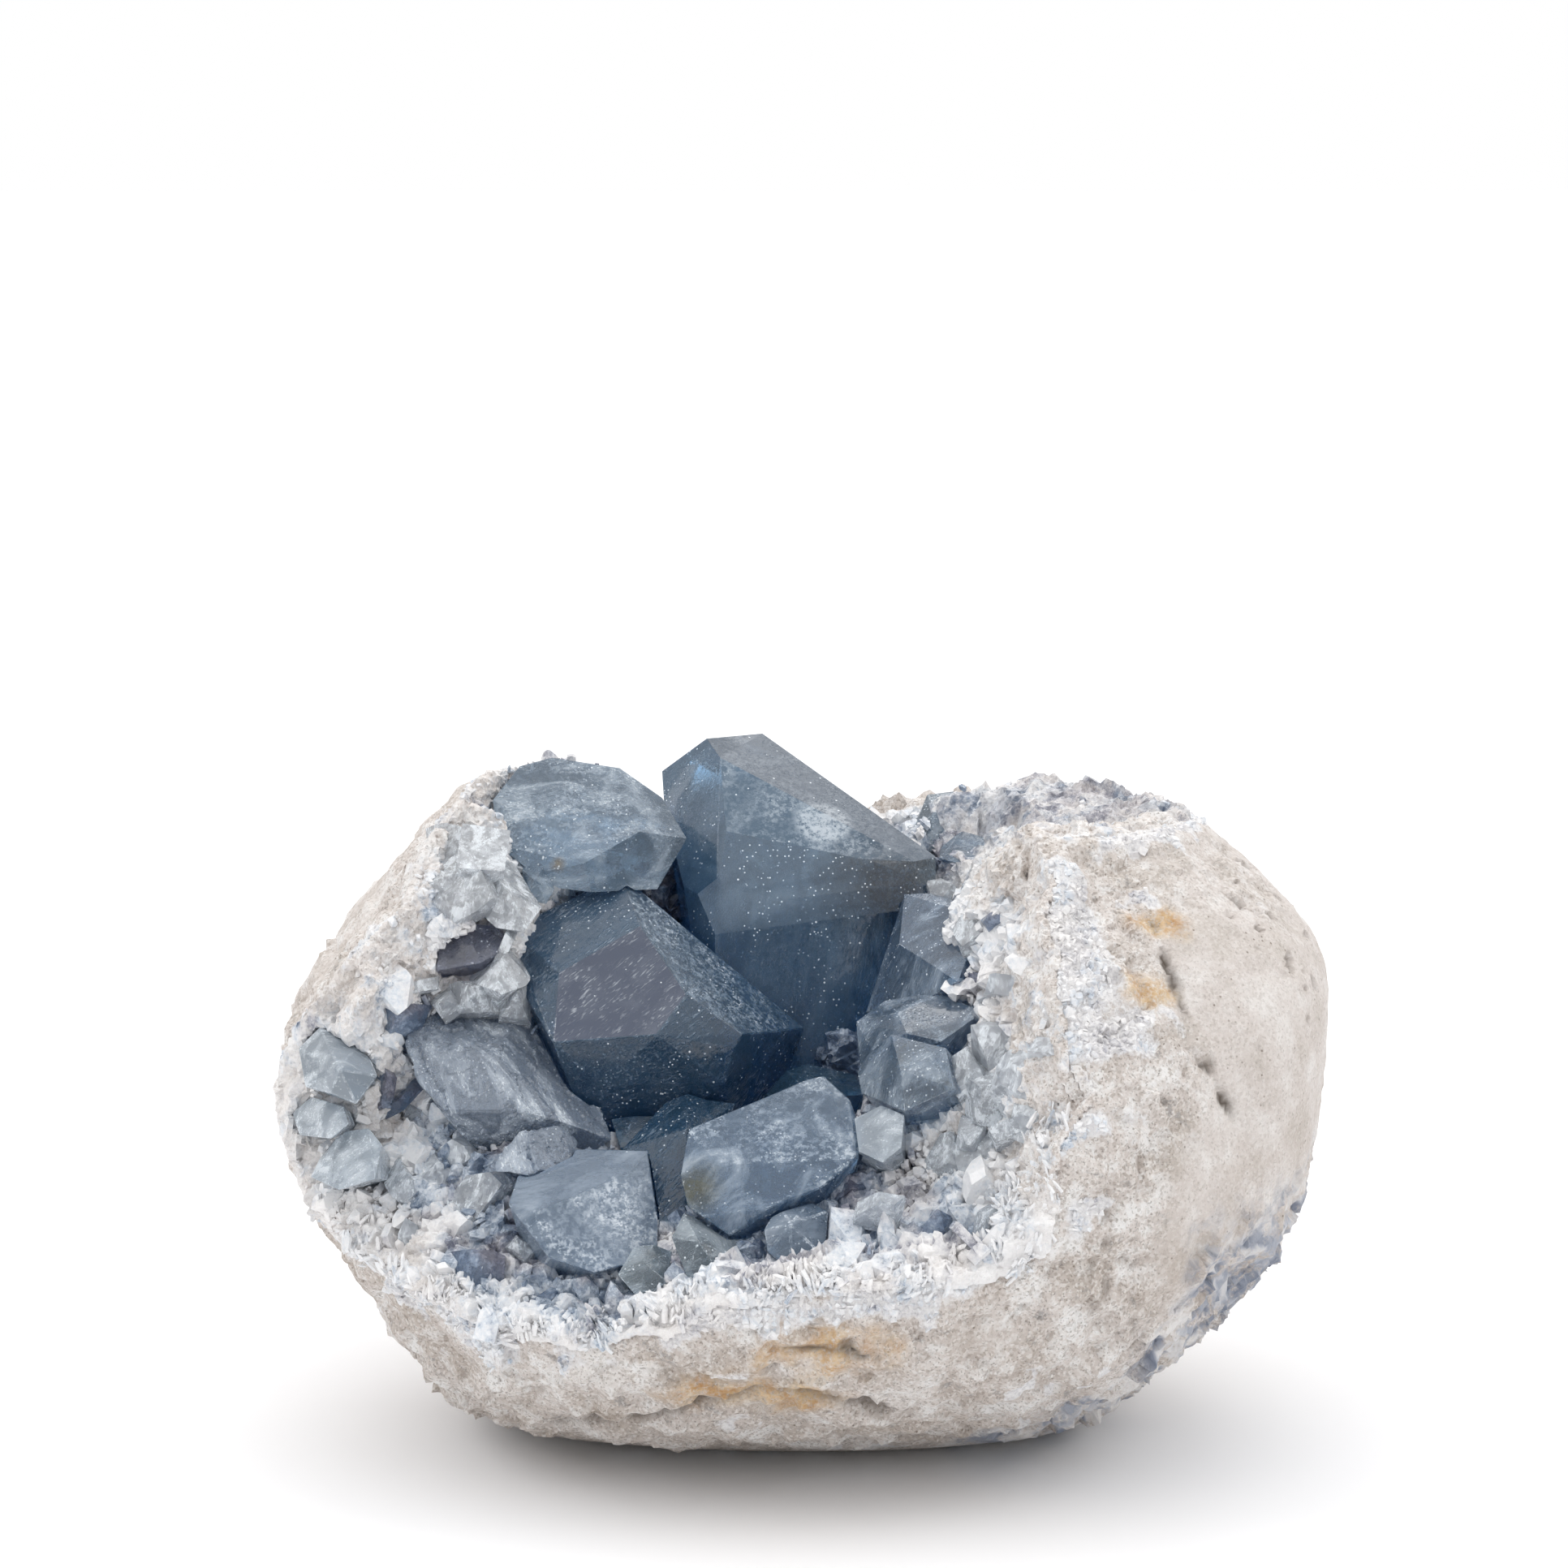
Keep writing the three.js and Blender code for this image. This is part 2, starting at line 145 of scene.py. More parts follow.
# %% [markdown]
# ## Rules of chance
# Rock and druse have no two places alike. Smooth noise gives lumps, and grains
# give the broken, sugary look: each grain is a little facet with its own tilt.
# Both are worked out from whole numbers, so every run gives the same stone.


# %% Smooth noise
def chance(cells, seed):
    """A number from 0 to 1 for each cell, which is a row of three whole numbers."""
    # large odd factors scatter neighbours far apart, and each shift with ^ folds
    # the high digits into the low ones; the last line keeps twenty binary digits
    a = cells[..., 0] * 374761393 + cells[..., 1] * 668265263
    a = a + cells[..., 2] * 1442695041 + seed * 1274126177
    a = (a ^ (a >> 13)) * 1103515245
    a = (a ^ (a >> 17)) * 668265263
    return ((a ^ (a >> 15)) & 0xFFFFF) / 0xFFFFF


def lumps(points, size, seed):
    """Smooth noise from -1 to 1 whose lumps are about this size, in millimetres."""
    place = points / (size * MM) + seed * 7.31
    low = np.floor(place).astype(np.int64)
    part = place - low
    part = part * part * (3 - 2 * part)
    total = np.zeros(len(points))
    for corner in itertools.product((0, 1), repeat=3):
        share = np.prod(np.where(corner, part, 1 - part), axis=1)
        total += share * chance(low + np.array(corner), seed)
    return total * 2 - 1


# %% Grains and steps
def grains(points, size, seed):
    """Height on a facet that each grain tilts its own way, and the grain's own tint."""
    # a point belongs to the grain whose centre is nearest, and each cell has one
    place = points / (size * MM) + seed * 3.77
    low = np.floor(place).astype(np.int64)
    nearest = np.full(len(points), 9.0)
    offset = np.zeros((len(points), 3))
    number = np.zeros((len(points), 3), dtype=np.int64)
    for step in itertools.product((-1, 0, 1), repeat=3):
        cell = low + np.array(step)
        centre = np.stack([chance(cell, seed + k) for k in (1, 2, 3)], axis=1)
        away = place - cell - centre
        distance = np.sqrt((away * away).sum(axis=1))
        closer = distance < nearest
        nearest = np.where(closer, distance, nearest)
        offset[closer] = away[closer]
        number[closer] = cell[closer]
    tilt = np.stack([chance(number, seed + k) for k in (5, 6, 7)], axis=1) * 2 - 1
    height = (offset * tilt).sum(axis=1)
    return height, chance(number, seed + 9)


def soft_step(low, high, values):
    """0 at low, 1 at high and smooth between; low may be the larger one."""
    part = np.clip((values - low) / (high - low), 0, 1)
    return part * part * (3 - 2 * part)


def distance_to_line(points, line):
    """How far each point is from a line through these places, all in millimetres."""
    best = np.full(len(points), 1.0)
    for start, end in itertools.pairwise(np.array(line) * MM):
        along = end - start
        part = np.clip((points - start) @ along / (along @ along), 0, 1)
        gap = np.linalg.norm(points - start - part[:, None] * along, axis=1)
        best = np.minimum(best, gap)
    return best / MM


def distance_to(points, spot):
    """How far each point is from one place, both in millimetres."""
    return np.linalg.norm(points / MM - np.array(spot), axis=1)


print("noise at the origin:", lumps(np.zeros((1, 3)), 10, 3))

# %% [markdown]
# ## Camera
# The photograph looks down nine degrees from about sixty centimetres, through a
# 100 mm lens. The stone sits low in the frame because the camera was level with
# a point well above it.

# %% Camera
CAMERA_PLACE = (-0.002708, -0.597574, 0.186334)
LOOKS_DOWN = math.radians(9)
bpy.ops.object.camera_add(
    location=CAMERA_PLACE, rotation=(math.radians(90) - LOOKS_DOWN, 0, 0)
)
camera = bpy.context.object
camera.name = "camera"
camera.data.lens = 100
camera.data.sensor_width = 36
camera.data.clip_start = 0.01
bpy.context.scene.camera = camera
print("camera at", [round(v, 3) for v in camera.location])

# %% [markdown]
# ## Floor and light
# A matt white board under a white tent: the light comes from all over the sky,
# more from above than from the sides, so the board is white as far as it can be
# seen and the shadow stays close to the stone. Three soft boxes, one behind
# and one at each side, put a gleam on the crystal faces and give the shadow its
# two soft wings.


# %% Colours and one helper for nodes
def colour(code):
    """A code such as #8FA3B8 as the straight numbers that light adds up in."""
    parts = [int(code[k : k + 2], 16) / 255 for k in (1, 3, 5)]
    straight = [c / 12.92 if c <= 0.04045 else ((c + 0.055) / 1.055) ** 2.4 for c in parts]
    return (*straight, 1.0)


def node(tree, kind, inputs=(), stops=(), out=0, **settings):
    """Adds a node with its settings, numbers and links, and gives one of its outputs."""
    # inputs go by name or number, or else in order; those of MapRange are a value,
    # where it begins, where it is full, the least and the most
    new = tree.nodes.new("ShaderNode" + kind)
    for name, value in settings.items():
        setattr(new, name, value)
    given = inputs if isinstance(inputs, dict) else dict(enumerate(inputs))
    for key, value in given.items():
        if isinstance(value, bpy.types.NodeSocket):
            tree.links.new(value, new.inputs[key])
        else:
            new.inputs[key].default_value = value
    ramp = new.color_ramp.elements if stops else ()
    for place, (where, shade) in enumerate(stops):
        stop = ramp[place] if place < 2 else ramp.new(where)
        stop.position = where
        stop.color = colour(shade)
    return new.outputs[out] if len(new.outputs) else None


def new_material(name):
    """An empty material and its tree of nodes."""
    material = bpy.data.materials.new(name)
    material.use_nodes = True
    tree = material.node_tree
    tree.nodes.clear()
    return material, tree


# %% Floor
bpy.ops.mesh.primitive_plane_add(size=16)
floor = bpy.context.object
floor.name = "floor"
table_white, tree = new_material("table_white_board_matt")
board = node(tree, "BsdfDiffuse", {"Color": colour("#F9F9FA"), "Roughness": 0.3})
node(tree, "OutputMaterial", {"Surface": board})
floor.data.materials.append(table_white)
print("floor", floor.dimensions[:2])

# %% White tent
scene = bpy.context.scene
scene.view_settings.view_transform = "Standard"
world = bpy.data.worlds.new("studio")
scene.world = world
world.use_nodes = True
tree = world.node_tree
tree.nodes.clear()
# the tent is more than six times as bright overhead as at the height of the stone
sky = node(tree, "TexCoord", out="Generated")
upward = node(tree, "SeparateXYZ", {"Vector": sky}, out="Z")
glow = node(tree, "MapRange", (upward, 0, 1, 0.25, 1.62))
tent = node(tree, "Background", {"Color": colour("#FFFFFF"), "Strength": glow})
# the camera itself sees plain white behind the stone
seen = node(tree, "LightPath", out="Is Camera Ray")
plain = node(tree, "Background", {"Color": colour("#FFFFFF"), "Strength": 1.0})
either = node(tree, "MixShader", (seen, tent, plain))
node(tree, "OutputWorld", {"Surface": either})
print("nodes in the sky:", len(tree.nodes))


# %% Soft boxes
AIM = (0, 0, 0.05)


def soft_box(name, place, width, height, brightness):
    """A rectangular lamp of this size in metres that looks at the stone."""
    bpy.ops.object.light_add(type="AREA", location=place)
    lamp = bpy.context.object
    lamp.name = name
    lamp.data.shape = "RECTANGLE"
    lamp.data.size = width
    lamp.data.size_y = height
    # an area light of this brightness needs this power in watts
    lamp.data.energy = brightness * math.pi * width * height
    look = Vector(AIM) - Vector(place)
    lamp.rotation_euler = look.to_track_quat("-Z", "Y").to_euler()


soft_box("soft_box_left", (-0.8, -0.1, 0.7), 0.5, 0.5, 1.6)
soft_box("soft_box_right", (0.8, -0.05, 0.7), 0.5, 0.5, 1.4)
soft_box("soft_box_behind", (0.1, 0.75, 0.8), 0.7, 0.4, 1.6)

# %% [markdown]
# ## Marl rind
# The nodule is dull grey-beige marl: limestone mud with clay. Its skin has broad
# lumps from the way the nodule swelled, a smooth lobe on the right, crumbly zones
# by the broken rim and low at the front, a crack and two ledges. A carver would
# sculpt it. Here the CAD shape is made an even net of small faces by a voxel
# remesh, and every point of the net is pushed in or out. The flat patch that it
# rests on is left alone.

# %% Even net over the rind
RIND_NET = 0.9 * MM
rind = copy_of_node("rock_rind", "marl_rind")
crust_guide = copy_of_node("crystal_crust", "crust_guide")
apply_modifier(rind, "REMESH", mode="VOXEL", voxel_size=RIND_NET, adaptivity=0.0)
print("rind faces:", len(rind.data.polygons))


# %% Distance of each point from the crystal crust
def near_tree(points):
    """A tree that finds the nearest of these points."""
    tree = kdtree.KDTree(len(points))
    for number, point in enumerate(points):
        tree.insert(point, number)
    tree.balance()
    return tree


def surface_tree(piece):
    """A tree that finds the nearest place on a piece's faces."""
    piece.data.calc_loop_triangles()
    corners = [tuple(v.co) for v in piece.data.vertices]
    faces = [tuple(t.vertices) for t in piece.data.loop_triangles]
    return BVHTree.FromPolygons(corners, faces)


crust_surface = surface_tree(crust_guide)
place = points_of(rind)
outward = normals_of(rind)
to_crust = np.array([crust_surface.find_nearest(Vector(p))[3] for p in place]) / MM
x, y, z = place.T / MM
print("closest to the crust, mm:", round(to_crust.min(), 2))

# %% Where the marl is smooth, crumbly or broken away
# every share here goes from 0 to 1, and places and distances are in millimetres
HOLLOW = np.array([-2.0, -8.0, 66.0]) * MM
outer = ((place - HOLLOW) * outward).sum(axis=1) > 0
wander = lumps(place, 9, 12)
lobe = soft_step(45, 52, x + np.abs(z - 68) * 0.12 + wander * 4) * soft_step(18, 32, z)
right_side = soft_step(24, 34, x) * soft_step(5, -10, y)
by_rim = soft_step(15, 4, to_crust - 9 * right_side + wander * 4)
low_front = soft_step(34, 24, z + wander * 4) * soft_step(10, -20, y)
crumbly = np.clip(np.maximum(by_rim, low_front * 0.9) + 0.3 - lobe * 0.8, 0.1, 1)
# weather has eaten the back here and there too
weather = lumps(place, 22, 33) + lumps(place, 7, 34) * 0.5
eaten = soft_step(-0.15, 0.35, weather) * soft_step(-15, 5, y)
crumbly = np.maximum(crumbly, eaten * 0.75)
# low on the right the marl has broken away from blue-grey celestite
low_right = x * 0.75 - z * 0.65 + wander * 3
low_right += lumps(place, 3, 13) * 2 + lumps(place, 16, 14) * 6
rough = soft_step(12, 18, low_right) * soft_step(14, 0, y + wander * 8)
rough *= soft_step(48, 32, z + wander * 4)
print("crumbly share:", round(float(crumbly.mean()), 2), "rough:", round(float(rough.mean()), 2))

# %% Crack, ledges and crease
CRACK = [(45, -25, 81), (47, -30, 78), (48, -34, 73.9), (50.9, -38.8, 66.2)]
CRACK += [(54.1, -39.9, 58.8), (57, -38.5, 53)]
LEDGE = [(-34, -31, 10.5), (-27.2, -36.8, 11), (-16, -46, 15.5)]
LEDGE += [(-5.5, -50.9, 19.8), (5.1, -49.7, 18.3), (14, -45, 13)]
CREASE = [(-2, -54, 26.5), (4, -54.5, 26.8), (8, -53.5, 25.5)]
crack_gap = distance_to_line(place, CRACK) + lumps(place, 3, 8) * 0.9
crack_open = soft_step(-0.4, 0.3, lumps(place, 6, 11))
ledge_gap = distance_to_line(place, LEDGE) + lumps(place, 4, 9)
crease_gap = distance_to_line(place, CREASE) + lumps(place, 2, 10) * 0.3
print("points in the crack:", int((crack_gap < 0.7).sum()))

# %% Lumps, crumbs, pits and facets
back = soft_step(-5, 15, y)
lump = lumps(place, 24, 1) * (0.9 + 0.8 * back)
lump += lumps(place, 11, 2) * (0.5 + 0.4 * back)
creased = np.clip(1 - np.abs(lumps(place, 8, 3)) * 3, 0, 1) ** 2
scale = grains(place, 3.4, 15)[0]
crumbs = lumps(place, 5, 4) * 0.5 + lumps(place, 2.6, 5) * 0.45
crumbs += scale * 0.9 - creased * 0.7
facet, tint = grains(place, 5.0, 20)
small_facet, small_tint = grains(place, 2.2, 40)
pit = soft_step(0.5, 0.75, lumps(place, 2.0, 30))
pit *= soft_step(-0.1, 0.5, lumps(place, 12, 31))
print("pitted share:", round(float((pit > 0.5).mean()), 3))


# %% Push the points
def near(gap, width):
    """1 where the gap is nothing, and fading to 0 within about twice the width."""
    return np.exp(-((gap / width) ** 2))


def back_rim_dip(points):
    """Rind and crust lie lower in front of the block and the dark chunk on the back rim."""
    return 6.0 * MM * soft_step(13, 8, distance_to(points, (21.0, 12.0, 84.0)))


solid = 1 - rough
push = lump * (1 - 0.6 * rough) + lumps(place, 2.2, 6) * 0.15
push += crumbs * crumbly * solid * (1.1 + 0.9 * eaten) - pit * (0.7 + 0.5 * eaten) * solid
push += (facet * 1.8 + small_facet * 0.8 - 0.5) * rough
push -= near(crack_gap, 0.7) * 0.8 * crack_open + near(crack_gap, 5) * 0.9
push -= near(ledge_gap, 1.1) * 1.5 + near(crease_gap, 0.7) * 0.9
# the foot stays flat, and the inside hardly moves
push *= soft_step(1.5, 8, z) * np.where(outer, 1.0, 0.25)
# a lip stands up where the crust of the top patch begins
lip = soft_step(24, 30, x) * soft_step(80, 84, z) * soft_step(2, -4, y)
push = push * (1 - near(to_crust, 2.5) * lip) + near(to_crust, 2.2) * lip * 2.2
# a bite is missing from the low right flank
push -= near(distance_to(place, (59.5, -30.0, 25.5)), 7) * 2.2
# the broken edge stays where the crust meets it
push *= 0.35 + 0.65 * soft_step(0.6, 4, to_crust)
place = place + outward * (push * MM)[:, None]
place[:, 2] -= back_rim_dip(place)
place[:, 2] = np.maximum(place[:, 2], 0.0)
put_points(rind, place)
print("pushed out, mm:", round(push.max(), 2), "in:", round(push.min(), 2))

# %% Notes for rust, white, and the crack with painted shade
# place and reach of each rusty stain, in mm
STAINS = [((3, -54.5, 25.6), 5), ((-10.7, -49.8, 18.9), 5.5), ((-2, -50.5, 18.9), 4)]
STAINS += [((39, -41, 12), 4), ((46.7, -29.4, 78.5), 3), ((46.1, -38.2, 70.4), 3.5)]
STAINS += [((-60, -28, 66), 3.5)]
wider_than_high = np.array([0.6, 1, 1])
stain = np.zeros(len(place))
for centre, reach in STAINS:
    gap = np.linalg.norm((place / MM - np.array(centre)) * wider_than_high, axis=1) / reach
    stain = np.maximum(stain, soft_step(1.2, 0.2, gap + lumps(place, 3, 61) * 0.6))
upper_right = soft_step(18, 28, x) * soft_step(44, 58, z)
front = soft_step(-18, -30, y) * soft_step(52, 44, z)
by_right_wall = soft_step(12, 20, x) * soft_step(38, 50, z)
by_right_wall *= soft_step(84, 76, z) * soft_step(-5, -15, y)
reach_of_white = 2.4 + 1.0 * upper_right + 2.6 * front + 10.0 * by_right_wall
# fingers of white run down from the rim
around = np.arctan2(place[:, 1] + 8 * MM, place[:, 0]) * 60 * MM
down = np.stack([around, place[:, 2] * 0.2, np.zeros(len(place))], axis=1)
ragged = lumps(place, 5, 62) * 2.2 + lumps(place, 2, 63) * 1.6
ragged += lumps(down, 1.6, 66) * 1.8
white = soft_step(1.3, 0.2, (to_crust + ragged) / reach_of_white)
white *= soft_step(-0.5, 0.3, lumps(place, 6, 67))
white_patch = soft_step(0.2, 0.6, lumps(place, 9, 64))
white_patch *= soft_step(-0.1, 0.4, lumps(place, 2.5, 65))
white = np.maximum(white, white_patch * crumbly * (0.6 + 0.4 * by_right_wall))
# the crack's own dark line, and painted shade along the ledges and the crease and in the pits
dark = near(crack_gap, 0.5) * crack_open + near(ledge_gap, 0.8) * 0.8
dark += near(crease_gap, 0.5) + pit * 0.4 * solid
grain = tint * 0.6 + small_tint * 0.4
RIND_NOTES = {"white": white, "stain": stain, "rough": rough, "grain": grain}
RIND_NOTES.update({"crumbly": crumbly, "crack_and_shade": np.clip(dark, 0, 1)})
for name, values in RIND_NOTES.items():
    write_attribute(rind, name, values)
print("white share:", round(float(white.mean()), 3), "rusty:", round(float(stain.mean()), 3))

# %% [markdown]
# ## Marl paint
# Weathered marl is chalky: beige, with grey mottles where the clay lies, brown
# specks, a few rusty stains of iron, and white where celestite grains sit in it.
# The patches follow the notes left on the points, and fine noise breaks them up.

# %% Colours of marl
# The rind and the outer edge of the crust share these colours.
PER_MM = 1 / MM
# each noise pattern has a name, a size in millimetres, its detail and its roughness
MARL_NOISES = (("broad", 9, 6.0, 0.6), ("patchy", 4.5, 10.0, 0.82), ("fine", 0.35, 2.0, 0.6))
BEIGE = [(0.35, "#CDC5BE"), (0.5, "#DAD2CD"), (0.65, "#E4DFDB")]


def marl_body(tree, spot, crumbly):
    """Chalky beige, broken up where crumbly, a number or a socket, is near 1."""
    noise = {}
    for name, size, detail, roughness in MARL_NOISES:
        settings = {"Vector": spot, "Scale": PER_MM / size}
        settings.update({"Detail": detail, "Roughness": roughness})
        noise[name] = node(tree, "TexNoise", settings, out="Fac")
    # grains of half a millimetre, each with a shade of its own, and larger specks
    kind = node(tree, "TexVoronoi", {"Vector": spot, "Scale": PER_MM / 0.4}, out="Color")
    speck = node(tree, "TexVoronoi", {"Vector": spot, "Scale": PER_MM / 1.6}, out="Distance")
    # tan lies mostly low down, and grains are thicker where the marl crumbles
    height = node(tree, "SeparateXYZ", {"Vector": spot}, out="Z")
    tan_edge = node(tree, "MapRange", (noise["patchy"], 0.38, 0.54))
    low = node(tree, "MapRange", (height, 0.07, 0.03, 0.1, 0.85))
    low_tan = node(tree, "Math", (tan_edge, low), operation="MULTIPLY")
    loose = node(tree, "MapRange", (crumbly, 0, 1, 0.3, 0.75))
    worn = node(tree, "MapRange", (noise["broad"], 0.62, 0.45))
    # colour, pattern, where it begins, where it is full, how strong, and its place
    layers = (
        ("#F0EFEE", noise["patchy"], 0.51, 0.56, 0.8, crumbly),
        ("#9B9796", noise["patchy"], 0.44, 0.39, 0.8, crumbly),
        ("#AD9E91", noise["broad"], 0.62, 0.32, 1.0, low_tan),
        ("#8B7D70", kind, 0.62, 0.85, 0.5, loose),
        ("#F3F0ED", kind, 0.38, 0.25, 0.55, loose),
        ("#6F6459", noise["fine"], 0.42, 0.32, 0.8, loose),
        ("#83776C", speck, 0.13, 0.07, 0.85, worn),
    )
    shades = node(tree, "ValToRGB", {"Fac": noise["broad"]}, stops=BEIGE)
    for shade, pattern, begins, full, strength, where in layers:
        patch = node(tree, "MapRange", (pattern, begins, full, 0, strength))
        patch = node(tree, "Math", (patch, where), operation="MULTIPLY")
        shades = node(tree, "Mix", {0: patch, 6: shades, 7: colour(shade)}, out=2, data_type="RGBA")
    return shades


print("marl has", len(MARL_NOISES), "noise patterns")

# %% Marl
# Weathered limestone is matt and chalky. Its broken low right side shows
# fine-grained celestite, blue-grey and a little glossy.
marl, tree = new_material("marl_weathered_and_broken")
spot = node(tree, "TexCoord", out="Object")
noted = {n: node(tree, "Attribute", out="Fac", attribute_name=n) for n in RIND_NOTES}
rugged = {"Vector": spot, "Scale": PER_MM / 3.2, "Detail": 6.0, "Roughness": 0.7}
rugged = node(tree, "TexNoise", rugged, out="Fac")
fine = {"Vector": spot, "Scale": PER_MM / 0.6, "Detail": 4.0, "Roughness": 0.7}
fine = node(tree, "TexNoise", fine, out="Fac")
# rust only shows between the finest grains
gritty = node(tree, "MapRange", (fine, 0.3, 0.55))
rusty = node(tree, "Math", (noted["stain"], gritty), operation="MULTIPLY")
rust = node(tree, "ValToRGB", {"Fac": rugged}, stops=[(0.35, "#B98B55"), (0.6, "#DDC4A0")])
# snow-white grains, ragged at their edges, with grey ones between
both_noises = node(tree, "Mix", {0: 0.5, 2: rugged, 3: fine})
snowy = node(tree, "Math", (noted["white"], 0.8, both_noises), operation="MULTIPLY_ADD")
snowy = node(tree, "MapRange", (snowy, 0.78, 0.92, 0, 0.9))
SNOW = [(0.3, "#B5B4B8"), (0.45, "#E1E0E2"), (0.6, "#F1F0F0")]
snow = node(tree, "ValToRGB", {"Fac": fine}, stops=SNOW)
# the broken side, grain by grain
BLUE_GRAINS = [(0.25, "#7F8798"), (0.45, "#A9AEBA"), (0.6, "#D2D2D5"), (0.75, "#E6E3E1")]
blue = node(tree, "ValToRGB", {"Fac": noted["grain"]}, stops=BLUE_GRAINS)
bared = node(tree, "MapRange", (rugged, 0.6, 0.46))
bared = node(tree, "Math", (noted["rough"], bared), operation="MULTIPLY")
print("nodes for stains, snow and bare crystal:", len(tree.nodes))

# %% Layers and grit of the marl
body = marl_body(tree, spot, noted["crumbly"])
# one brown for the crack and for the painted shade in ledges, crease and pits
crack_and_shade_brown = colour("#5F554C")
layers = ((rust, rusty), (snow, snowy), (blue, bared), (crack_and_shade_brown, noted["crack_and_shade"]))
for shade, where in layers:
    body = node(tree, "Mix", {0: where, 6: body, 7: shade}, out=2, data_type="RGBA")
# grit: pebbles of a millimetre over the two noises
pebble = node(tree, "TexVoronoi", {"Vector": spot, "Scale": PER_MM / 0.9}, out="Distance")
grit = node(tree, "Mix", {0: 0.7, 2: rugged, 3: fine})
grit = node(tree, "Math", (pebble, -0.25, grit), operation="MULTIPLY_ADD")
relief = node(tree, "Bump", {"Height": grit, "Strength": 0.8, "Distance": 0.5 * MM})
shine = node(tree, "MapRange", (bared, 0, 1, 0.9, 0.35))
chalk = {"Base Color": body, "Roughness": shine, "Normal": relief, "IOR": 1.5}
chalk = node(tree, "BsdfPrincipled", chalk)
node(tree, "OutputMaterial", {"Surface": chalk})
finish_piece(rind, marl, "rock", "rock_rind")
print("nodes in the marl paint:", len(tree.nodes))

# %% [markdown]
# ## Sugary crust
# The marl is coated with celestite that grew together into one mass: snow-white
# and beige by the broken rim, with grey glassy windows, and blue-grey further in.
# The CAD crust is netted like the rind, and its points are tipped cell by cell
# into facets of three sizes, so it looks like broken, interlocked crystal. Notes
# on the points say how white and how marly the coat is there, and the small
# crystals that stand on it take the same notes, so they belong to it.

# %% Rim of the hollow
CRUST_NET = 0.62 * MM
crust = copy_of_node("crystal_crust", "sugary_crust")
apply_modifier(crust, "REMESH", mode="VOXEL", voxel_size=CRUST_NET, adaptivity=0.0)
rind_guide = copy_of_node("rock_rind", "rind_guide")
rind_surface = surface_tree(rind_guide)
rim_points = place[outer & (to_crust < 1.6)]
rim_tree = near_tree(rim_points)
print("rim points:", len(rim_points), "crust faces:", len(crust.data.polygons))


def rim_distance(points):
    """How far each point is from the broken rim, in millimetres."""
    return np.array([rim_tree.find(Vector(p))[2] for p in points]) / MM


# %% How white and how marly the coat is
# two deep corners of the hollow that get painted shade, in mm
SHADED_CORNERS = ((4.3, -2.5, 54.3), (-18.7, 14.6, 74.2))


def coat_at(points, inward):
    """Tone, 0 dark and clear to 1 white, with painted shade in the deep corners, and share of marl,
    at each point.
    """
    x, y, z = points.T / MM
    upper_left = soft_step(-30, -44, x) * soft_step(56, 66, z)
    low_left = soft_step(-40, -52, x) * soft_step(66, 56, z)
    right = soft_step(12, 22, x) * soft_step(6, -6, y)
    upper_right = right * soft_step(40, 50, z)
    top_patch = soft_step(14, 22, x) * soft_step(74, 80, z) * soft_step(-10, 0, y)
    # the white rim reaches this many millimetres inward
    reach = 4.0 + 10.0 * upper_left + 3.0 * low_left + 12.0 * upper_right + 26.0 * top_patch
    ragged = lumps(points, 7, 52) * 0.3 + lumps(points, 3, 53) * 0.35
    share = inward / reach + ragged
    snow = soft_step(1.5, 0.6, share)
    marly = soft_step(0.85, 0.35, share + lumps(points, 2, 54) * 0.3)
    everywhere = np.full(len(x), 0.25)
    marly *= np.maximum.reduce(
        [upper_left * 0.8, low_left * 0.5, upper_right, top_patch * 0.6, everywhere]
    )
    patches = lumps(points, 10, 57) * 0.5 + lumps(points, 4, 58) * 0.5
    tone = 0.54 + 0.4 * patches + 0.38 * snow + 0.3 * right + 0.2 * low_left
    tone -= 0.15 * soft_step(8, 30, inward) + 0.55 * top_patch
    # painted shade: darker and clearer in the deep corners between the large crystals, where shade
    # falls
    for corner in SHADED_CORNERS:
        tone -= soft_step(13, 7, distance_to(points, corner))
    return np.clip(tone, 0, 1), marly


# %% Facets of the crust
spots = points_of(crust)
facing = normals_of(crust)
inward = rim_distance(spots)
tone, marly = coat_at(spots, inward)
behind = np.array([rind_surface.find_nearest(Vector(p))[3] for p in spots]) / MM
loose = soft_step(0.3, 1.5, behind)
large_facet, large_tint = grains(spots, 5.5, 50)
facet, tint = grains(spots, 2.6, 60)
small_facet, small_tint = grains(spots, 1.3, 70)
heave = large_facet * 2.2 * (1 - 0.6 * marly) + facet * 1.3 * (1 - 0.3 * marly)
heave += small_facet * 0.5 + lumps(spots, 7, 51) * 0.5 - 0.2
# by the rind the crust swells a little, so that no gap shows
heave = heave * loose + 0.6 * (1 - loose)
moved = spots + facing * (heave * MM)[:, None]
moved[:, 2] -= back_rim_dip(moved)
put_points(crust, moved)
cells = (large_tint - 0.5) * 0.3 + (tint - 0.5) * 0.3 + (small_tint - 0.5) * 0.2
write_attribute(crust, "tone", np.clip(tone + cells, 0, 1))
write_attribute(crust, "marly", marly)
print("deepest point, mm:", round(inward.max(), 1), "tone:", round(float(tone.mean()), 2))

# %% Streaks of white that stand square to the front rim
around = np.arctan2(spots[:, 1] + 8 * MM, spots[:, 0]) * 55 * MM
flat = np.stack([around, np.zeros(len(spots)), inward * 0.22 * MM], axis=1)
streak = lumps(flat, 1.5, 55) * 0.6 + lumps(flat, 0.8, 56) * 0.4 - inward / 14
write_attribute(crust, "streak", soft_step(-0.2, 0.3, streak))
print("streaked share:", round(float((streak > 0).mean()), 2))

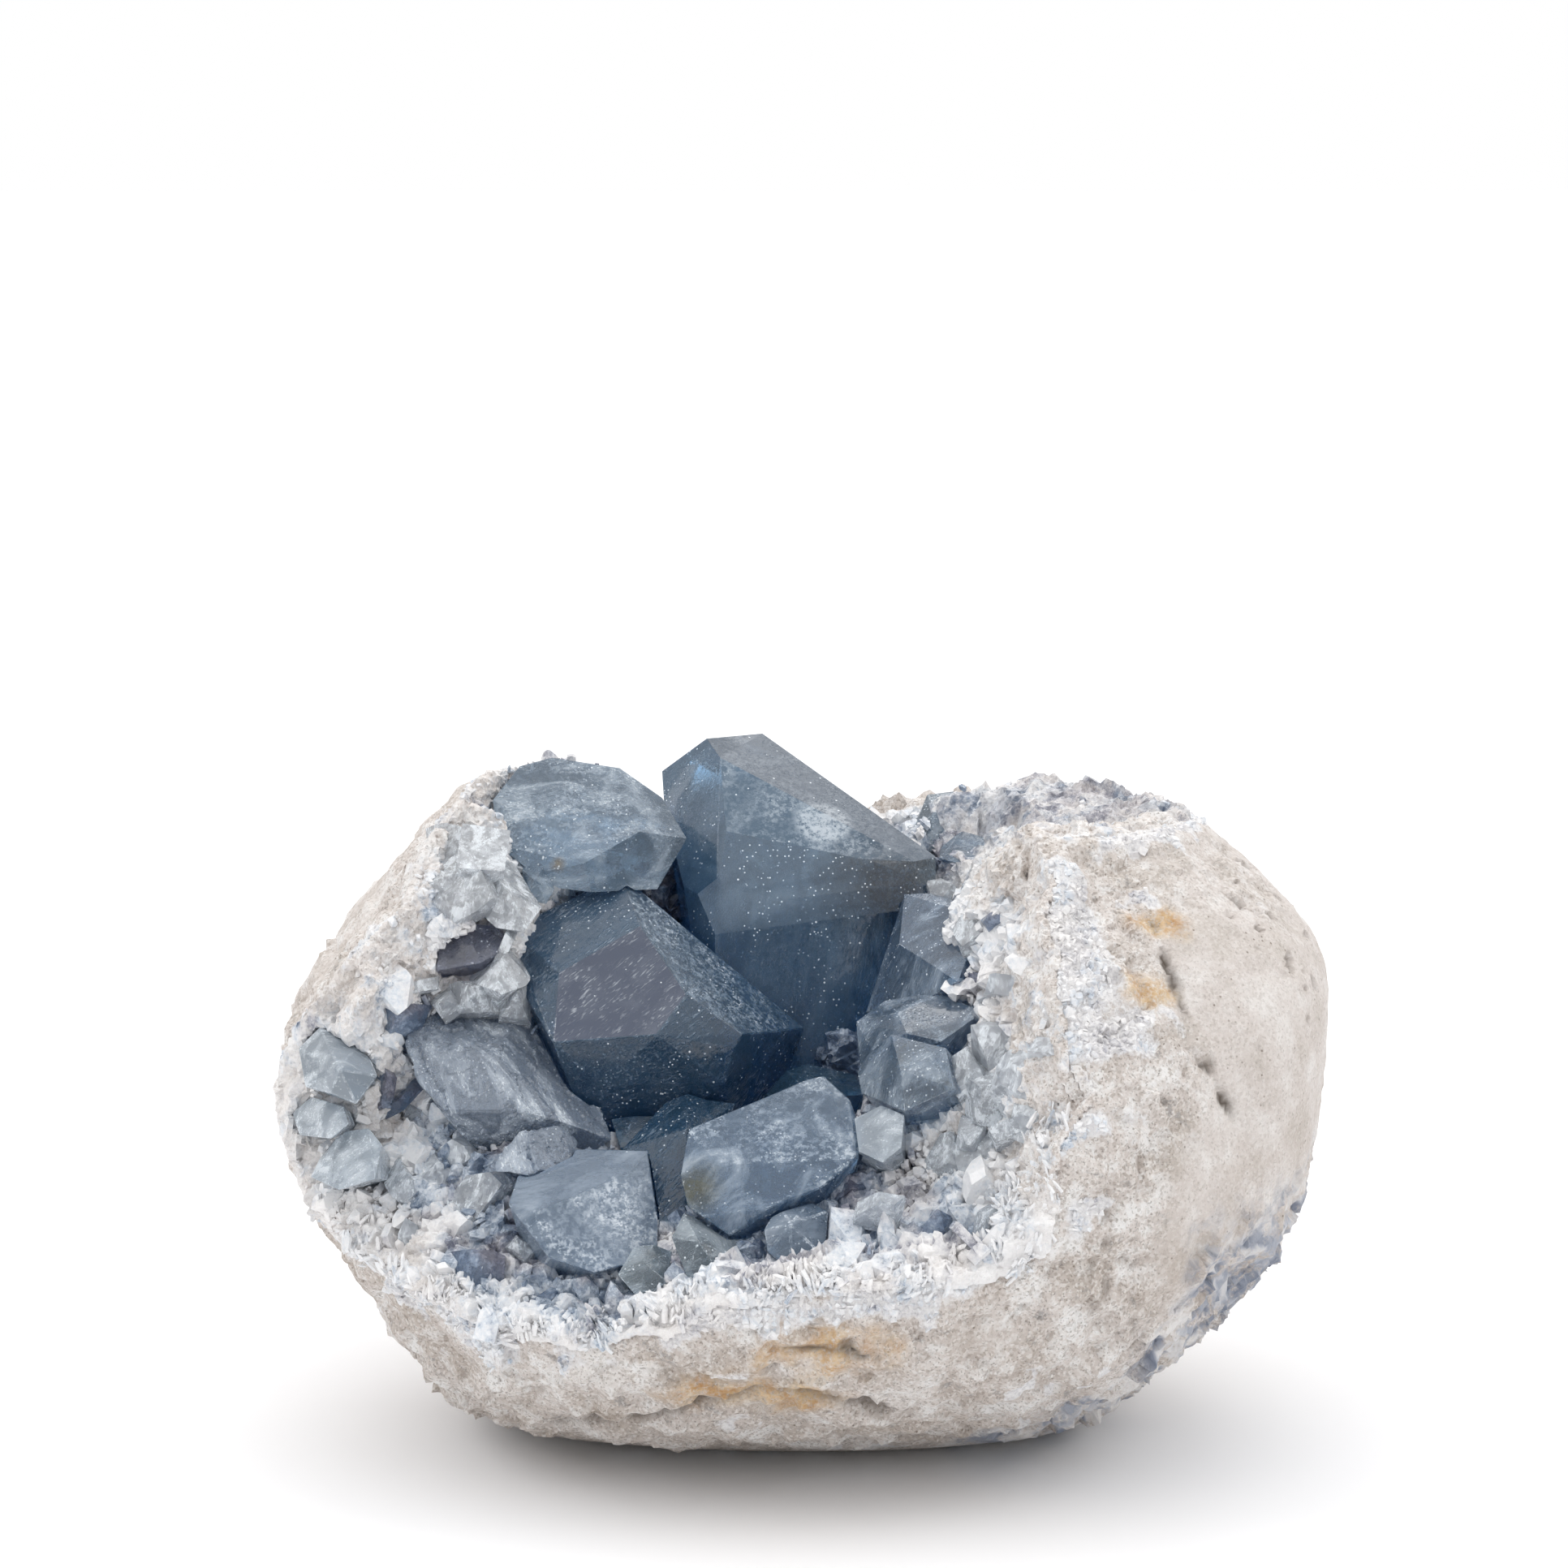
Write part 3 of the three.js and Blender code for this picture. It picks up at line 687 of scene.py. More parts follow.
# %% [markdown]
# ## Sugar
# Fine-grained celestite is white where its grains scatter light and grey-blue
# where one grain is large enough to look into. One paint does both: a number for
# milk goes from 0, clear, to 1, white, and sets colour, clearness and gloss
# together. The notes on the points say roughly how milky a place is, and noise of
# a few millimetres and of less than one breaks that up.

# %% Patterns in the sugar
CELESTITE_IOR = 1.62
# name, size in mm, detail and roughness
SUGAR_NOISES = (("cloud", 3.5, 8.0, 0.7), ("fine", 0.7, 4.0, 0.65), ("hue", 8, 3.0, 0.5))
SUGAR_BLUES = [(0.0, "#7890B0"), (0.25, "#9BAEC8"), (0.5, "#BFCBDA"), (0.75, "#E0E5EB")]
SUGAR_BLUES += [(1.0, "#F4F4F5")]
SUGAR_MAUVES = [(0.0, "#8C8EA3"), (0.3, "#AFB0BF"), (0.65, "#D9D8DB"), (1.0, "#F4F2F1")]
sugar, tree = new_material("celestite_sugary_druse")
spot = node(tree, "TexCoord", out="Object")
crust_notes = ("tone", "marly", "streak")
noted = {n: node(tree, "Attribute", out="Fac", attribute_name=n) for n in crust_notes}
noise = {}
for name, size, detail, roughness in SUGAR_NOISES:
    settings = {"Vector": spot, "Scale": PER_MM / size}
    settings.update({"Detail": detail, "Roughness": roughness})
    noise[name] = node(tree, "TexNoise", settings, out="Fac")
# each mask: its pattern, where it begins, and where it is full
masks = {}
for name, pattern, begins, full in (
    ("clouded", "cloud", 0.3, 0.7),
    ("grained", "fine", 0.3, 0.7),
    ("streaky", "fine", 0.35, 0.55),
    ("mauve", "hue", 0.46, 0.58),
    ("marly", "cloud", 0.36, 0.5),
):
    masks[name] = node(tree, "MapRange", (noise[pattern], begins, full))
print("masks of the sugar:", len(masks))

# %% Milk, mauve and marl in the sugar
# milk: the note, clouded every 3 mm and every 0.7 mm
milky = noted["tone"]
for name, share in (("clouded", 0.7), ("grained", 0.35)):
    milky = node(tree, "Math", (masks[name], share, milky), operation="MULTIPLY_ADD")
milky = node(tree, "Math", (milky, 0.52), operation="SUBTRACT", use_clamp=True)
streaked = node(tree, "Math", (noted["streak"], masks["streaky"]), operation="MULTIPLY")
milky = node(tree, "Math", (milky, streaked), operation="MAXIMUM")
blue = node(tree, "ValToRGB", {"Fac": milky}, stops=SUGAR_BLUES)
mauve = node(tree, "ValToRGB", {"Fac": milky}, stops=SUGAR_MAUVES)
beige = marl_body(tree, spot, 1.0)
is_marl = node(tree, "Math", (noted["marly"], masks["marly"]), operation="MULTIPLY")
body = blue
for shade, where in ((mauve, masks["mauve"]), (beige, is_marl)):
    body = node(tree, "Mix", {0: where, 6: body, 7: shade}, out=2, data_type="RGBA")
print("nodes for its colours:", len(tree.nodes))

# %% Surface of the sugar
# neither milk nor marl lets light through, and both are duller than clear grains
shut = node(tree, "Math", (milky, is_marl), operation="MAXIMUM")
clearness = node(tree, "MapRange", (shut, 0.7, 0.0, 0, 0.7))
gloss = node(tree, "MapRange", (shut, 0, 1, 0.08, 0.45))
glint = node(tree, "TexVoronoi", {"Vector": spot, "Scale": PER_MM / 1.1}, out="Distance")
grit = node(tree, "Math", (glint, 0.7, noise["fine"]), operation="MULTIPLY_ADD")
relief = node(tree, "Bump", {"Height": grit, "Strength": 0.6, "Distance": 0.35 * MM})
sweet = {"Base Color": body, "Roughness": gloss, "Normal": relief, "IOR": CELESTITE_IOR}
sweet["Transmission Weight"] = clearness
sweet = node(tree, "BsdfPrincipled", sweet)
node(tree, "OutputMaterial", {"Surface": sweet})
finish_piece(crust, sugar, "crust", "crystal_crust")
print("nodes in the sugar:", len(tree.nodes))

# %% [markdown]
# ## Clear celestite
# Celestite is a heavy, brittle sulfate. The crystals are clear inside, blue because
# of the depth that light crosses, with a little haze near the skin. Faces are flat
# and glossy, with short raised growth dashes and dust, and some are frosted. A
# glass that absorbs light gives the depth, and patterns on its skin shut a part of
# the light out. Eleven materials share this recipe and differ in a few numbers.

# %% What sets one crystal apart from another
# Every material says how clear it is, how milky its veils are, how high its growth
# dashes stand, the direction along which both run, and how white its dust is. The
# rest it says only where it differs from this.
USUAL = {
    "veil_size": 6.0,  # how many millimetres the veils are across
    "drawn_out": 0.4,  # below 1 they are longer than wide
    "streaks": 0.0,  # how white the growth streaks are: their own white and a painted highlight on the dashes
    "edges": 0.4,  # how white the edges are: partly chips, partly a painted highlight along the bevels
    "gloss": 0.05,  # roughness of a clean face
    "film": "#8FA3B8",  # colour of the painted reflection laid on faces picked by their direction
    "cloud": None,  # a patch of another colour: its middle, reach and colour
    "moon": None,  # a patch of thick frost: its middle and reach
}


# %% Patterns on a crystal
def patterns_of(tree, look):
    """The notes on the points, and the noises that the skin is made of."""
    spot = node(tree, "TexCoord", out="Object")
    turn = Vector(look["along"]).rotation_difference(Vector((0, 0, 1))).to_euler()
    turned = node(tree, "Mapping", {"Vector": spot, "Rotation": turn[:]})
    found = {"spot": spot}
    for name in ("frost", "film", "edge"):
        found[name] = node(tree, "Attribute", out="Fac", attribute_name=name)
    # name, stretch along the crystal, size in mm, detail, roughness, distortion
    noises = (
        ("veil", look["drawn_out"], look["veil_size"], 8.0, 0.64, 0.8),
        # growth dashes are a third of a millimetre wide and 2 mm long
        ("dash", 0.22, 0.3, 2.0, 0.6, 0.0),
        # frost is crusted in flecks less than a millimetre wide
        ("fleck", None, 0.8, 4.0, 0.8, 0.0),
        # dust and frost gather in some places more than in others
        ("gathered", None, 7, 3.0, 0.7, 0.0),
    )
    for name, stretch, size, detail, roughness, distortion in noises:
        where = spot
        if stretch:
            where = node(tree, "Mapping", {"Vector": turned, "Scale": (1.0, 1.0, stretch)})
        settings = {"Vector": where, "Scale": PER_MM / size, "Detail": detail}
        settings.update({"Roughness": roughness, "Distortion": distortion})
        found[name] = node(tree, "TexNoise", settings, out="Fac")
    # dust: grains of a quarter of a millimetre, some faint, and a few larger ones
    small = {"Vector": spot, "Scale": PER_MM / 0.6}
    found["grain_gap"] = node(tree, "TexVoronoi", small, out="Distance")
    found["grain_shade"] = found["grain_gap"].node.outputs["Color"]
    large = {"Vector": spot, "Scale": PER_MM / 2.4}
    found["large_gap"] = node(tree, "TexVoronoi", large, out="Distance")
    return found


# %% Masks made of the patterns
def add_masks(tree, found, look):
    """Adds to the patterns the dust, frost, chips and streaks with their painted highlights, and
    ridges, from 0 to 1.
    """
    # mask, its pattern, where that begins and is full, the least and the most
    masks = (
        ("grain", "grain_gap", 0.27, 0.15, 0.0, 1.0),
        ("seen", "grain_shade", 0.4, 0.6, 0.0, 1.0),
        ("dust_place", "gathered", 0.46, 0.56, 0.0, look["dust"]),
        ("no_film", "film", 1.0, 0.5, 0.0, 1.0),
        ("large_grain", "large_gap", 0.075, 0.05, 0.0, look["dust"]),
        ("crusted", "fleck", 0.46, 0.58, 0.0, 1.0),
        ("frost_place", "gathered", 0.4, 0.6, 0.3, 1.0),
        ("rubbed", "fleck", 0.45, 0.6, 0.0, 1.0),
        ("chip_place", "gathered", 0.4, 0.6, 0.0, look["edges"]),
        ("veiled", "veil", 0.46, 0.72, 0.0, look["veils"]),
        ("streak", "dash", 0.54, 0.68, 0.0, look["streaks"]),
        ("streak_place", "veil", 0.42, 0.56, 0.0, 1.0),
        ("ridge", "dash", 0.5, 0.66, 0.0, look["dashes"]),
        ("ridge_place", "veil", 0.4, 0.55, 0.0, 1.0),
    )
    for name, pattern, begins, full, least, most in masks:
        found[name] = node(tree, "MapRange", (found[pattern], begins, full, least, most))
    # each line puts two together, and a later line may use an earlier one
    steps = (
        ("dusty", "grain", "MULTIPLY", "seen"),
        ("dusty", "dusty", "MULTIPLY", "dust_place"),
        ("dusty", "dusty", "MULTIPLY", "no_film"),
        ("dusty", "large_grain", "MAXIMUM", "dusty"),
        ("frosting", "frost", "MULTIPLY", "crusted"),
        ("frosting", "frosting", "MULTIPLY", "frost_place"),
        ("chips_and_edge_highlight", "rubbed", "MULTIPLY", "chip_place"),
        ("chips_and_edge_highlight", "edge", "MULTIPLY", "chips_and_edge_highlight"),
        ("streaked", "streak", "MULTIPLY", "streak_place"),
        ("ridged", "ridge", "MULTIPLY", "ridge_place"),
        ("bumpy", "fleck", "MULTIPLY", "frost"),
    )
    for name, one, operation, other in steps:
        found[name] = node(tree, "Math", (found[one], found[other]), operation=operation)


def distance_from(tree, spot, middle):
    """How far, in metres, each place is from a middle given in millimetres."""
    ends = (spot, [v * MM for v in middle])
    return node(tree, "VectorMath", ends, out="Value", operation="DISTANCE")


# %% Milk
def milk_of(tree, found, look):
    """All that lies on or under the skin and is not clear, with the painted highlights on edges and
    streaks, 0 clear to 1 white.
    """
    frosting = found["frosting"]
    if look["moon"]:
        middle, reach = look["moon"]
        gap = distance_from(tree, found["spot"], middle)
        # only where the face is frosted, in a soft-edged round, and in flecks
        parts = (
            (found["frost"], 0.05, 0.2, 1.0),
            (gap, reach * MM, (reach - 1.6) * MM, 0.65),
            (found["fleck"], 0.34, 0.54, 1.0),
        )
        thick = 1.0
        for pattern, begins, full, most in parts:
            part = node(tree, "MapRange", (pattern, begins, full, 0, most))
            thick = node(tree, "Math", (part, thick), operation="MULTIPLY")
        frosting = node(tree, "Math", (frosting, thick), operation="MAXIMUM")
    milk = node(tree, "Math", (frosting, 0.7, found["veiled"]), operation="MULTIPLY_ADD")
    # streaks and chipped edges are their own white together with a painted highlight
    milk = node(tree, "Math", (found["streaked"], milk), operation="ADD", use_clamp=True)
    for name in ("chips_and_edge_highlight", "dusty"):
        milk = node(tree, "Math", (milk, found[name]), operation="MAXIMUM")
    return milk


# %% Colours of the skin
def skin_of(tree, found, look, upper, lower):
    """The colour where nothing is milky, paler above on most crystals as painted light, with its
    cloud and its painted reflection.
    """
    # where the colour above is the paler one, as on the great, centre and front right crystals, it
    # is painted light, a lit top over a shaded foot; where it is the darker one, as on the right
    # wall and the crest, it is the crystal's own zoning
    height = node(tree, "SeparateXYZ", {"Vector": found["spot"]}, out="Z")
    wavy = node(tree, "Math", (found["gathered"], 0.03, height), operation="MULTIPLY_ADD")
    above = node(tree, "MapRange", (wavy, 0.066, 0.1))
    layers = [(above, upper)]
    if look["cloud"]:
        middle, reach, shade = look["cloud"]
        gap = distance_from(tree, found["spot"], middle)
        ragged = (found["gathered"], reach * 1.2 * MM, gap)
        ragged = node(tree, "Math", ragged, operation="MULTIPLY_ADD")
        near_it = (ragged, reach * 1.7 * MM, reach * 0.9 * MM, 0, 0.9)
        near_it = node(tree, "MapRange", near_it)
        flecked = node(tree, "MapRange", (found["fleck"], 0.2, 0.5))
        where = node(tree, "Math", (near_it, flecked), operation="MULTIPLY")
        layers.append((where, shade))
    # the painted reflection: a colour laid on the faces picked by their direction
    layers.append((found["film"], look["film"]))
    skin = colour(lower)
    for where, shade in layers:
        skin = node(tree, "Mix", {0: where, 6: skin, 7: colour(shade)}, out=2, data_type="RGBA")
    return skin


# %% Clear celestite
def celestite(name, upper, lower, depth, density, **own):
    """A material with its colours above, below and in depth, and what it has of its own."""
    look = {**USUAL, **own}
    made, tree = new_material(name)
    found = patterns_of(tree, look)
    add_masks(tree, found, look)
    milk = milk_of(tree, found, look)
    skin = skin_of(tree, found, look, upper, lower)
    body = node(tree, "Mix", {0: milk, 6: skin, 7: colour("#E8EEF3")}, out=2, data_type="RGBA")
    # milk and the painted reflection shut the light out
    hazy = node(tree, "Math", (found["film"], 0.75, milk), operation="MULTIPLY_ADD", use_clamp=True)
    clearness = node(tree, "MapRange", (hazy, 0, 1, look["clear"], 0.0))
    # relief: crusted frost, growth dashes and a faint swell under the veils
    bumps = node(tree, "Math", (found["bumpy"], 0.45, found["ridged"]), operation="MULTIPLY_ADD")
    bumps = node(tree, "Math", (found["veil"], 0.25, bumps), operation="MULTIPLY_ADD")
    relief = node(tree, "Bump", {"Height": bumps, "Strength": 0.5, "Distance": 0.2 * MM})
    # clean faces are glossy, frost and thick milk are matt
    matt = (found["frost"], 0.3, look["gloss"])
    matt = node(tree, "Math", matt, operation="MULTIPLY_ADD", use_clamp=True)
    thick = node(tree, "MapRange", (milk, 0.3, 0.8))
    thick = node(tree, "Math", (milk, thick), operation="MULTIPLY")
    matt = node(tree, "Math", (matt, thick), operation="MAXIMUM")
    glass = {"Base Color": body, "Roughness": matt, "IOR": CELESTITE_IOR, "Normal": relief}
    glass.update({"Specular IOR Level": 0.25, "Transmission Weight": clearness})
    glass = node(tree, "BsdfPrincipled", glass)
    # light takes on the blue on its way through the stone, so thick parts are darker
    inside = node(tree, "VolumeAbsorption", {"Color": colour(depth), "Density": density})
    node(tree, "OutputMaterial", {"Surface": glass, "Volume": inside})
    return made


print("usual settings:", len(USUAL))

# %% Deep and dark crystals
# All are clear celestite. What differs is how deep the blue is, and how much of
# the skin is milky, streaked, dusty or frosted. Patches have their place in mm.
OLIVE_TIP = ((13.5, 4.5, 78), 13, "#1B3644")
MOON = ((2.9, 11.0, 84.6), 4.8)
# the great crystal: clean and deep, paler above as painted light, with a dark olive tip and a dim
# painted reflection on its top faces
deep_blue = celestite(
    "celestite_deep_blue_clear", "#96C0E0", "#528FBC", "#4FB0E2", 20.0,
    clear=0.85, veils=0.16, dashes=0.3, along=(0.2, 0, 1), dust=0.9,
    film="#33475B", cloud=OLIVE_TIP, moon=MOON,
)
# low in the hollow, almost black, because little light comes back from there
dark_blue = celestite(
    "celestite_dark_blue_clear", "#7FA6C6", "#6698BF", "#4FB0E2", 26.0,
    clear=0.88, veils=0.08, dashes=0.3, along=(0.5, 0, 1), dust=0.6,
)
# the centre crystal: smoky and dusty, paler above as painted light, with a grey-mauve painted
# reflection on one face
smoke_blue = celestite(
    "celestite_smoky_blue", "#7F9FBC", "#5C90B8", "#4FB0E2", 26.0,
    clear=0.86, veils=0.08, dashes=1.0, along=(0.7, 0.5, 0.5), dust=1.0,
    streaks=0.3, drawn_out=0.5, film="#4C5569",
)
print("deep materials:", [m.name for m in (deep_blue, dark_blue, smoke_blue)])

# %% Pale and milky crystals
RUST_NEEDLE = ((-34.0, -5.5, 81.4), 1.3, "#A98446")
OLIVE_END = ((-15, -41, 44), 4.5, "#6C6B3F")
# the left crest: milky, with white edges that are partly chips and partly painted highlight, and
# one needle of rust
pale_blue = celestite(
    "celestite_pale_blue_milky", "#8CA5BC", "#B8CAD8", "#7CC4E4", 16.0,
    clear=0.8, veils=0.6, dashes=0.8, along=(1, 0, 0.5), dust=0.9,
    streaks=0.2, edges=0.7, cloud=RUST_NEEDLE,
)
# front right: pale above, which is painted light, and bluer below, with an olive end
clear_pale = celestite(
    "celestite_pale_blue_olive_end", "#C4D4E2", "#6E93B6", "#6ABBE4", 20.0,
    clear=0.78, veils=0.6, dashes=0.6, along=(0.3, 0, 1), dust=0.7,
    edges=0.7, cloud=OLIVE_END,
)
# right wall: dark, clear tips that stand on whiter feet
wall_pale = celestite(
    "celestite_dark_above_pale_below", "#6F97C0", "#BFD3E6", "#5CB4E4", 16.0,
    clear=0.86, veils=0.5, dashes=0.6, along=(0.3, 0, 1), dust=0.9,
    streaks=0.3, edges=0.9,
)
# left wall: broken and ribbed, so it is grey-blue and half milky all through
grey_blue = celestite(
    "celestite_grey_blue_broken", "#C0CEE0", "#B8C8DC", "#8ABAE0", 10.0,
    clear=0.74, veils=0.9, gloss=0.06, dashes=1.0, along=(0.3, -0.3, -0.9), dust=0.6,
    streaks=0.5, drawn_out=0.12,
)
# front left: clear inside, under white frost on its upper faces
frosted_blue = celestite(
    "celestite_grey_blue_frosted", "#A5BAD2", "#98B0CA", "#80BBE0", 20.0,
    clear=0.7, veils=0.35, gloss=0.1, dashes=0.4, along=(1, 0, 0.4), dust=0.6,
    edges=0.7,
)
# blocks on the left edge: nearly white, and finely streaked
pale_striated = celestite(
    "celestite_pale_striated", "#D2DDE8", "#CAD7E4", "#9CCBE6", 7.0,
    clear=0.62, veils=1.0, dashes=1.0, along=(0.8, 0.2, -0.3), dust=0.4,
    streaks=0.5, drawn_out=0.2, edges=0.9,
)
# above the left wall: purple-grey and dim
violet_grey = celestite(
    "celestite_violet_grey", "#B0B6CE", "#9AA2C0", "#7FA6D6", 24.0,
    clear=0.86, veils=0.25, gloss=0.08, dashes=0.6, along=(0.2, 0, 1), dust=0.8,
    streaks=0.15,
)
# small crystals in the hollow: milky white with clear windows
small_clear = celestite(
    "celestite_small_clear", "#F2F5FA", "#E8EFF8", "#9CCCEC", 3.0,
    clear=0.72, veils=1.0, dashes=0.8, along=(0.3, 0.2, 1), dust=0.4,
    streaks=0.9, drawn_out=0.8, veil_size=2.4,
)
print("materials so far:", len(bpy.data.materials))

# %% [markdown]
# ## Large crystals
# Celestite grows as blocks and blunt wedges. They could be cut from cubes, but the
# CAD solids already have the right corners, so each is copied, its flat faces are
# made whole again, and its edges get the hair-fine bevel that catches light on a
# real crystal. The pair on the left wall is broken and ribbed: it gets a fine net,
# and its points are moved in steps that run along the crystal.


# %% Broken skins
def break_up(piece, net, along, step, size, seed):
    """Breaks the skin into long steps. The net, the step and its size are in mm."""
    apply_modifier(piece, "REMESH", mode="VOXEL", voxel_size=net * MM, adaptivity=0.0)
    spots = points_of(piece)
    facing = normals_of(piece)
    along = np.array(along) / np.linalg.norm(along)
    drawn = spots - (spots @ along)[:, None] * along * 0.82
    wide, wide_tint = grains(drawn, size, seed)
    thin, thin_tint = grains(drawn, size * 0.4, seed + 20)
    depth = wide * step + thin * step * 0.4 - wide_tint * step * 0.4
    put_points(piece, spots + facing * (depth * MM)[:, None])
    return np.clip(thin_tint * 0.6 + wide_tint * 0.4, 0, 1)


# %% Notes on faces
def note_faces(piece, name, notes):
    """notes: rows of a face's outward direction and the amount, from 0 to 1."""
    layer = piece.data.attributes.new(name, "FLOAT", "FACE")
    for face in piece.data.polygons:
        for direction, amount in notes:
            if face.normal.dot(Vector(direction).normalized()) > 0.995:
                layer.data[face.index].value = amount


def note_edges(piece, flat):
    """Marks the bevels, which are the faces that look along none of the flat ones."""
    layer = piece.data.attributes.new("edge", "FLOAT", "FACE")
    for face in piece.data.polygons:
        closest = max(face.normal.dot(n) for n in flat)
        layer.data[face.index].value = float(closest < 0.9995)


# %% Rolled edges
def lies_between(normals, one, other):
    """Whether an edge with these faces' normals joins faces that look along one and other."""
    if len(normals) != 2:
        return False
    one, other = Vector(one).normalized(), Vector(other).normalized()
    either_way = (normals, normals[::-1])
    return any(a.dot(one) > 0.999 and b.dot(other) > 0.999 for a, b in either_way)


def round_over(piece, pairs, width):
    """Rolls the edges between two faces, given by their outward directions, into each other."""
    beside = {}
    for face in piece.data.polygons:
        for key in face.edge_keys:
            beside.setdefault(key, []).append(face.normal)
    wanted = []
    for edge in piece.data.edges:
        normals = beside.get(edge.key, [])
        wanted += [edge.index for pair in pairs if lies_between(normals, *pair)]
    bpy.ops.object.mode_set(mode="EDIT")
    bpy.ops.mesh.select_mode(type="EDGE")
    bpy.ops.mesh.select_all(action="DESELECT")
    bpy.ops.object.mode_set(mode="OBJECT")
    for index in wanted:
        piece.data.edges[index].select = True
    bpy.ops.object.mode_set(mode="EDIT")
    bpy.ops.mesh.bevel(offset=width, segments=9, affect="EDGES", clamp_overlap=True)
    bpy.ops.object.mode_set(mode="OBJECT")
    print(piece.name, "edges rolled over:", len(wanted))


# %% One crystal from its CAD node
SAME_FACE = math.radians(2.0)
SHARP = math.radians(8)
SMOOTH = math.radians(7)
HAIR_BEVEL = 0.22 * MM
ROLL = 5.0 * MM


def crystal_from(
    node_name, piece_name, material, slot, frosted=(), filmed=(), breaking=None, soft=()
):
    """A finished crystal: whole faces, then either a broken skin or fine bevels."""
    piece = copy_of_node(node_name, piece_name)
    bpy.ops.object.mode_set(mode="EDIT")
    bpy.ops.mesh.select_all(action="SELECT")
    bpy.ops.mesh.dissolve_limited(angle_limit=SAME_FACE)
    bpy.ops.object.mode_set(mode="OBJECT")
    if soft:
        round_over(piece, soft, ROLL)
    flat = [f.normal.copy() for f in piece.data.polygons]
    if breaking:
        tone = break_up(piece, *breaking)
        write_attribute(piece, "frost", soft_step(0.45, 0.9, tone) * 0.5)
    else:
        bevel = {"width": HAIR_BEVEL, "segments": 2, "harden_normals": False}
        bevel.update({"limit_method": "ANGLE", "angle_limit": SHARP})
        apply_modifier(piece, "BEVEL", **bevel)
        note_faces(piece, "frost", frosted)
        note_faces(piece, "film", filmed)
        note_edges(piece, flat)
    if soft:
        bpy.ops.object.shade_smooth_by_angle(angle=SMOOTH)
    finish_piece(piece, material, slot, node_name)
    print(piece_name, "flat faces:", len(flat), "faces:", len(piece.data.polygons))
    return piece


# %% Which faces are frosted or carry a painted reflection, and how much
GREAT_UPPER = (0.037, -0.666, 0.745)
GREAT_BACK = (0.251, -0.332, 0.909)
GREAT_SIDE = (0.219, -0.414, 0.883)
GREAT_FROST = [(GREAT_UPPER, 0.35), (GREAT_BACK, 0.15), (GREAT_SIDE, 0.15)]
GREAT_PAINTED_REFLECTION = [(GREAT_UPPER, 0.8), (GREAT_BACK, 1.0), (GREAT_SIDE, 1.0)]
# the great crystal's lower faces roll into one another
LEANING = (0.009, -0.748, 0.663)
STEEP = (0.078, -0.962, 0.26)
UPRIGHT = (0.075, -0.993, 0.093)
GREAT_SOFT = [(LEANING, UPRIGHT), (LEANING, STEEP), (STEEP, UPRIGHT)]
FRONT_LEFT_FROST = [((0.27, -0.759, 0.592), 1.0), ((0.455, -0.708, 0.54), 0.8)]
FRONT_LEFT_FROST += [((0.173, -0.837, 0.519), 1.0)]
FRONT_RIGHT_FROST = [((-0.03, -0.552, 0.833), 0.6), ((0.131, -0.486, 0.864), 0.8)]
FRONT_RIGHT_FROST += [((0.161, -0.851, 0.499), 1.0)]
CREST_FROST = [((0.028, -0.637, 0.771), 0.5), ((-0.108, -0.745, 0.658), 0.5)]
CREST_FROST += [((0.091, -0.62, 0.78), 0.4), ((0.396, -0.489, 0.777), 0.3)]
CENTRE_FROST = [((0.59, -0.258, 0.765), 0.75), ((0.544, -0.33, 0.772), 0.75)]
CENTRE_PAINTED_REFLECTION = [((0, -0.707, 0.707), 1.0), ((-0.121, -0.57, 0.812), 0.2)]
# net in mm, direction of the ribs, height and width of a step in mm, seed
RIBS = (0.36, (0.3, -0.3, -0.9), 0.35, 2.4, 80)
great_looks = (GREAT_FROST, GREAT_PAINTED_REFLECTION, None, GREAT_SOFT)
print("frosted faces:", len(GREAT_FROST + FRONT_LEFT_FROST + FRONT_RIGHT_FROST + CREST_FROST))

# %% All the large crystals
# CAD node, piece, material, slot, and the faces that are frosted and that carry a painted
# reflection
PALE = "pale_crystal"
DEEP = "deep_crystal"
LARGE = [
    ("great_crystal", "great_crystal_blue", deep_blue, DEEP, *great_looks),
    ("centre_crystal", "centre_crystal_smoky", smoke_blue, DEEP, CENTRE_FROST, CENTRE_PAINTED_REFLECTION),
    ("left_crest_crystals", "left_crest_pale", pale_blue, PALE, CREST_FROST),
    ("left_wall_crystals", "left_wall_striated", grey_blue, PALE, (), (), RIBS),
    ("upper_wall_crystal", "upper_wall_violet", violet_grey, PALE),
    ("left_rim_crystal_upper", "left_rim_block_upper", pale_striated, PALE),
    ("left_rim_crystal_middle", "left_rim_block_middle", pale_striated, PALE),
    ("left_rim_crystal_lower", "left_rim_block_lower", pale_striated, PALE),
    ("front_left_crystal", "front_left_frosted", frosted_blue, PALE, FRONT_LEFT_FROST),
    ("front_right_crystal", "front_right_clear", clear_pale, PALE, FRONT_RIGHT_FROST),
    ("front_crystal_left", "front_small_left", pale_blue, PALE),
    ("front_crystal_middle", "front_small_middle", pale_blue, PALE),
    ("front_crystal_right", "front_small_right", frosted_blue, PALE),
    ("floor_crystal_dark", "floor_dark", dark_blue, DEEP),
    ("floor_crystal_violet", "floor_violet", smoke_blue, DEEP),
    ("floor_crystal_right", "floor_right", dark_blue, DEEP),
    ("right_wall_crystals", "right_wall_group", wall_pale, PALE),
    ("right_foot_crystal", "right_foot_white", pale_striated, PALE),
    ("back_rim_crystal", "back_rim_pale", pale_blue, PALE),
    ("back_rim_chunk", "back_rim_dark", smoke_blue, DEEP),
]
crystals = [crystal_from(*row) for row in LARGE]

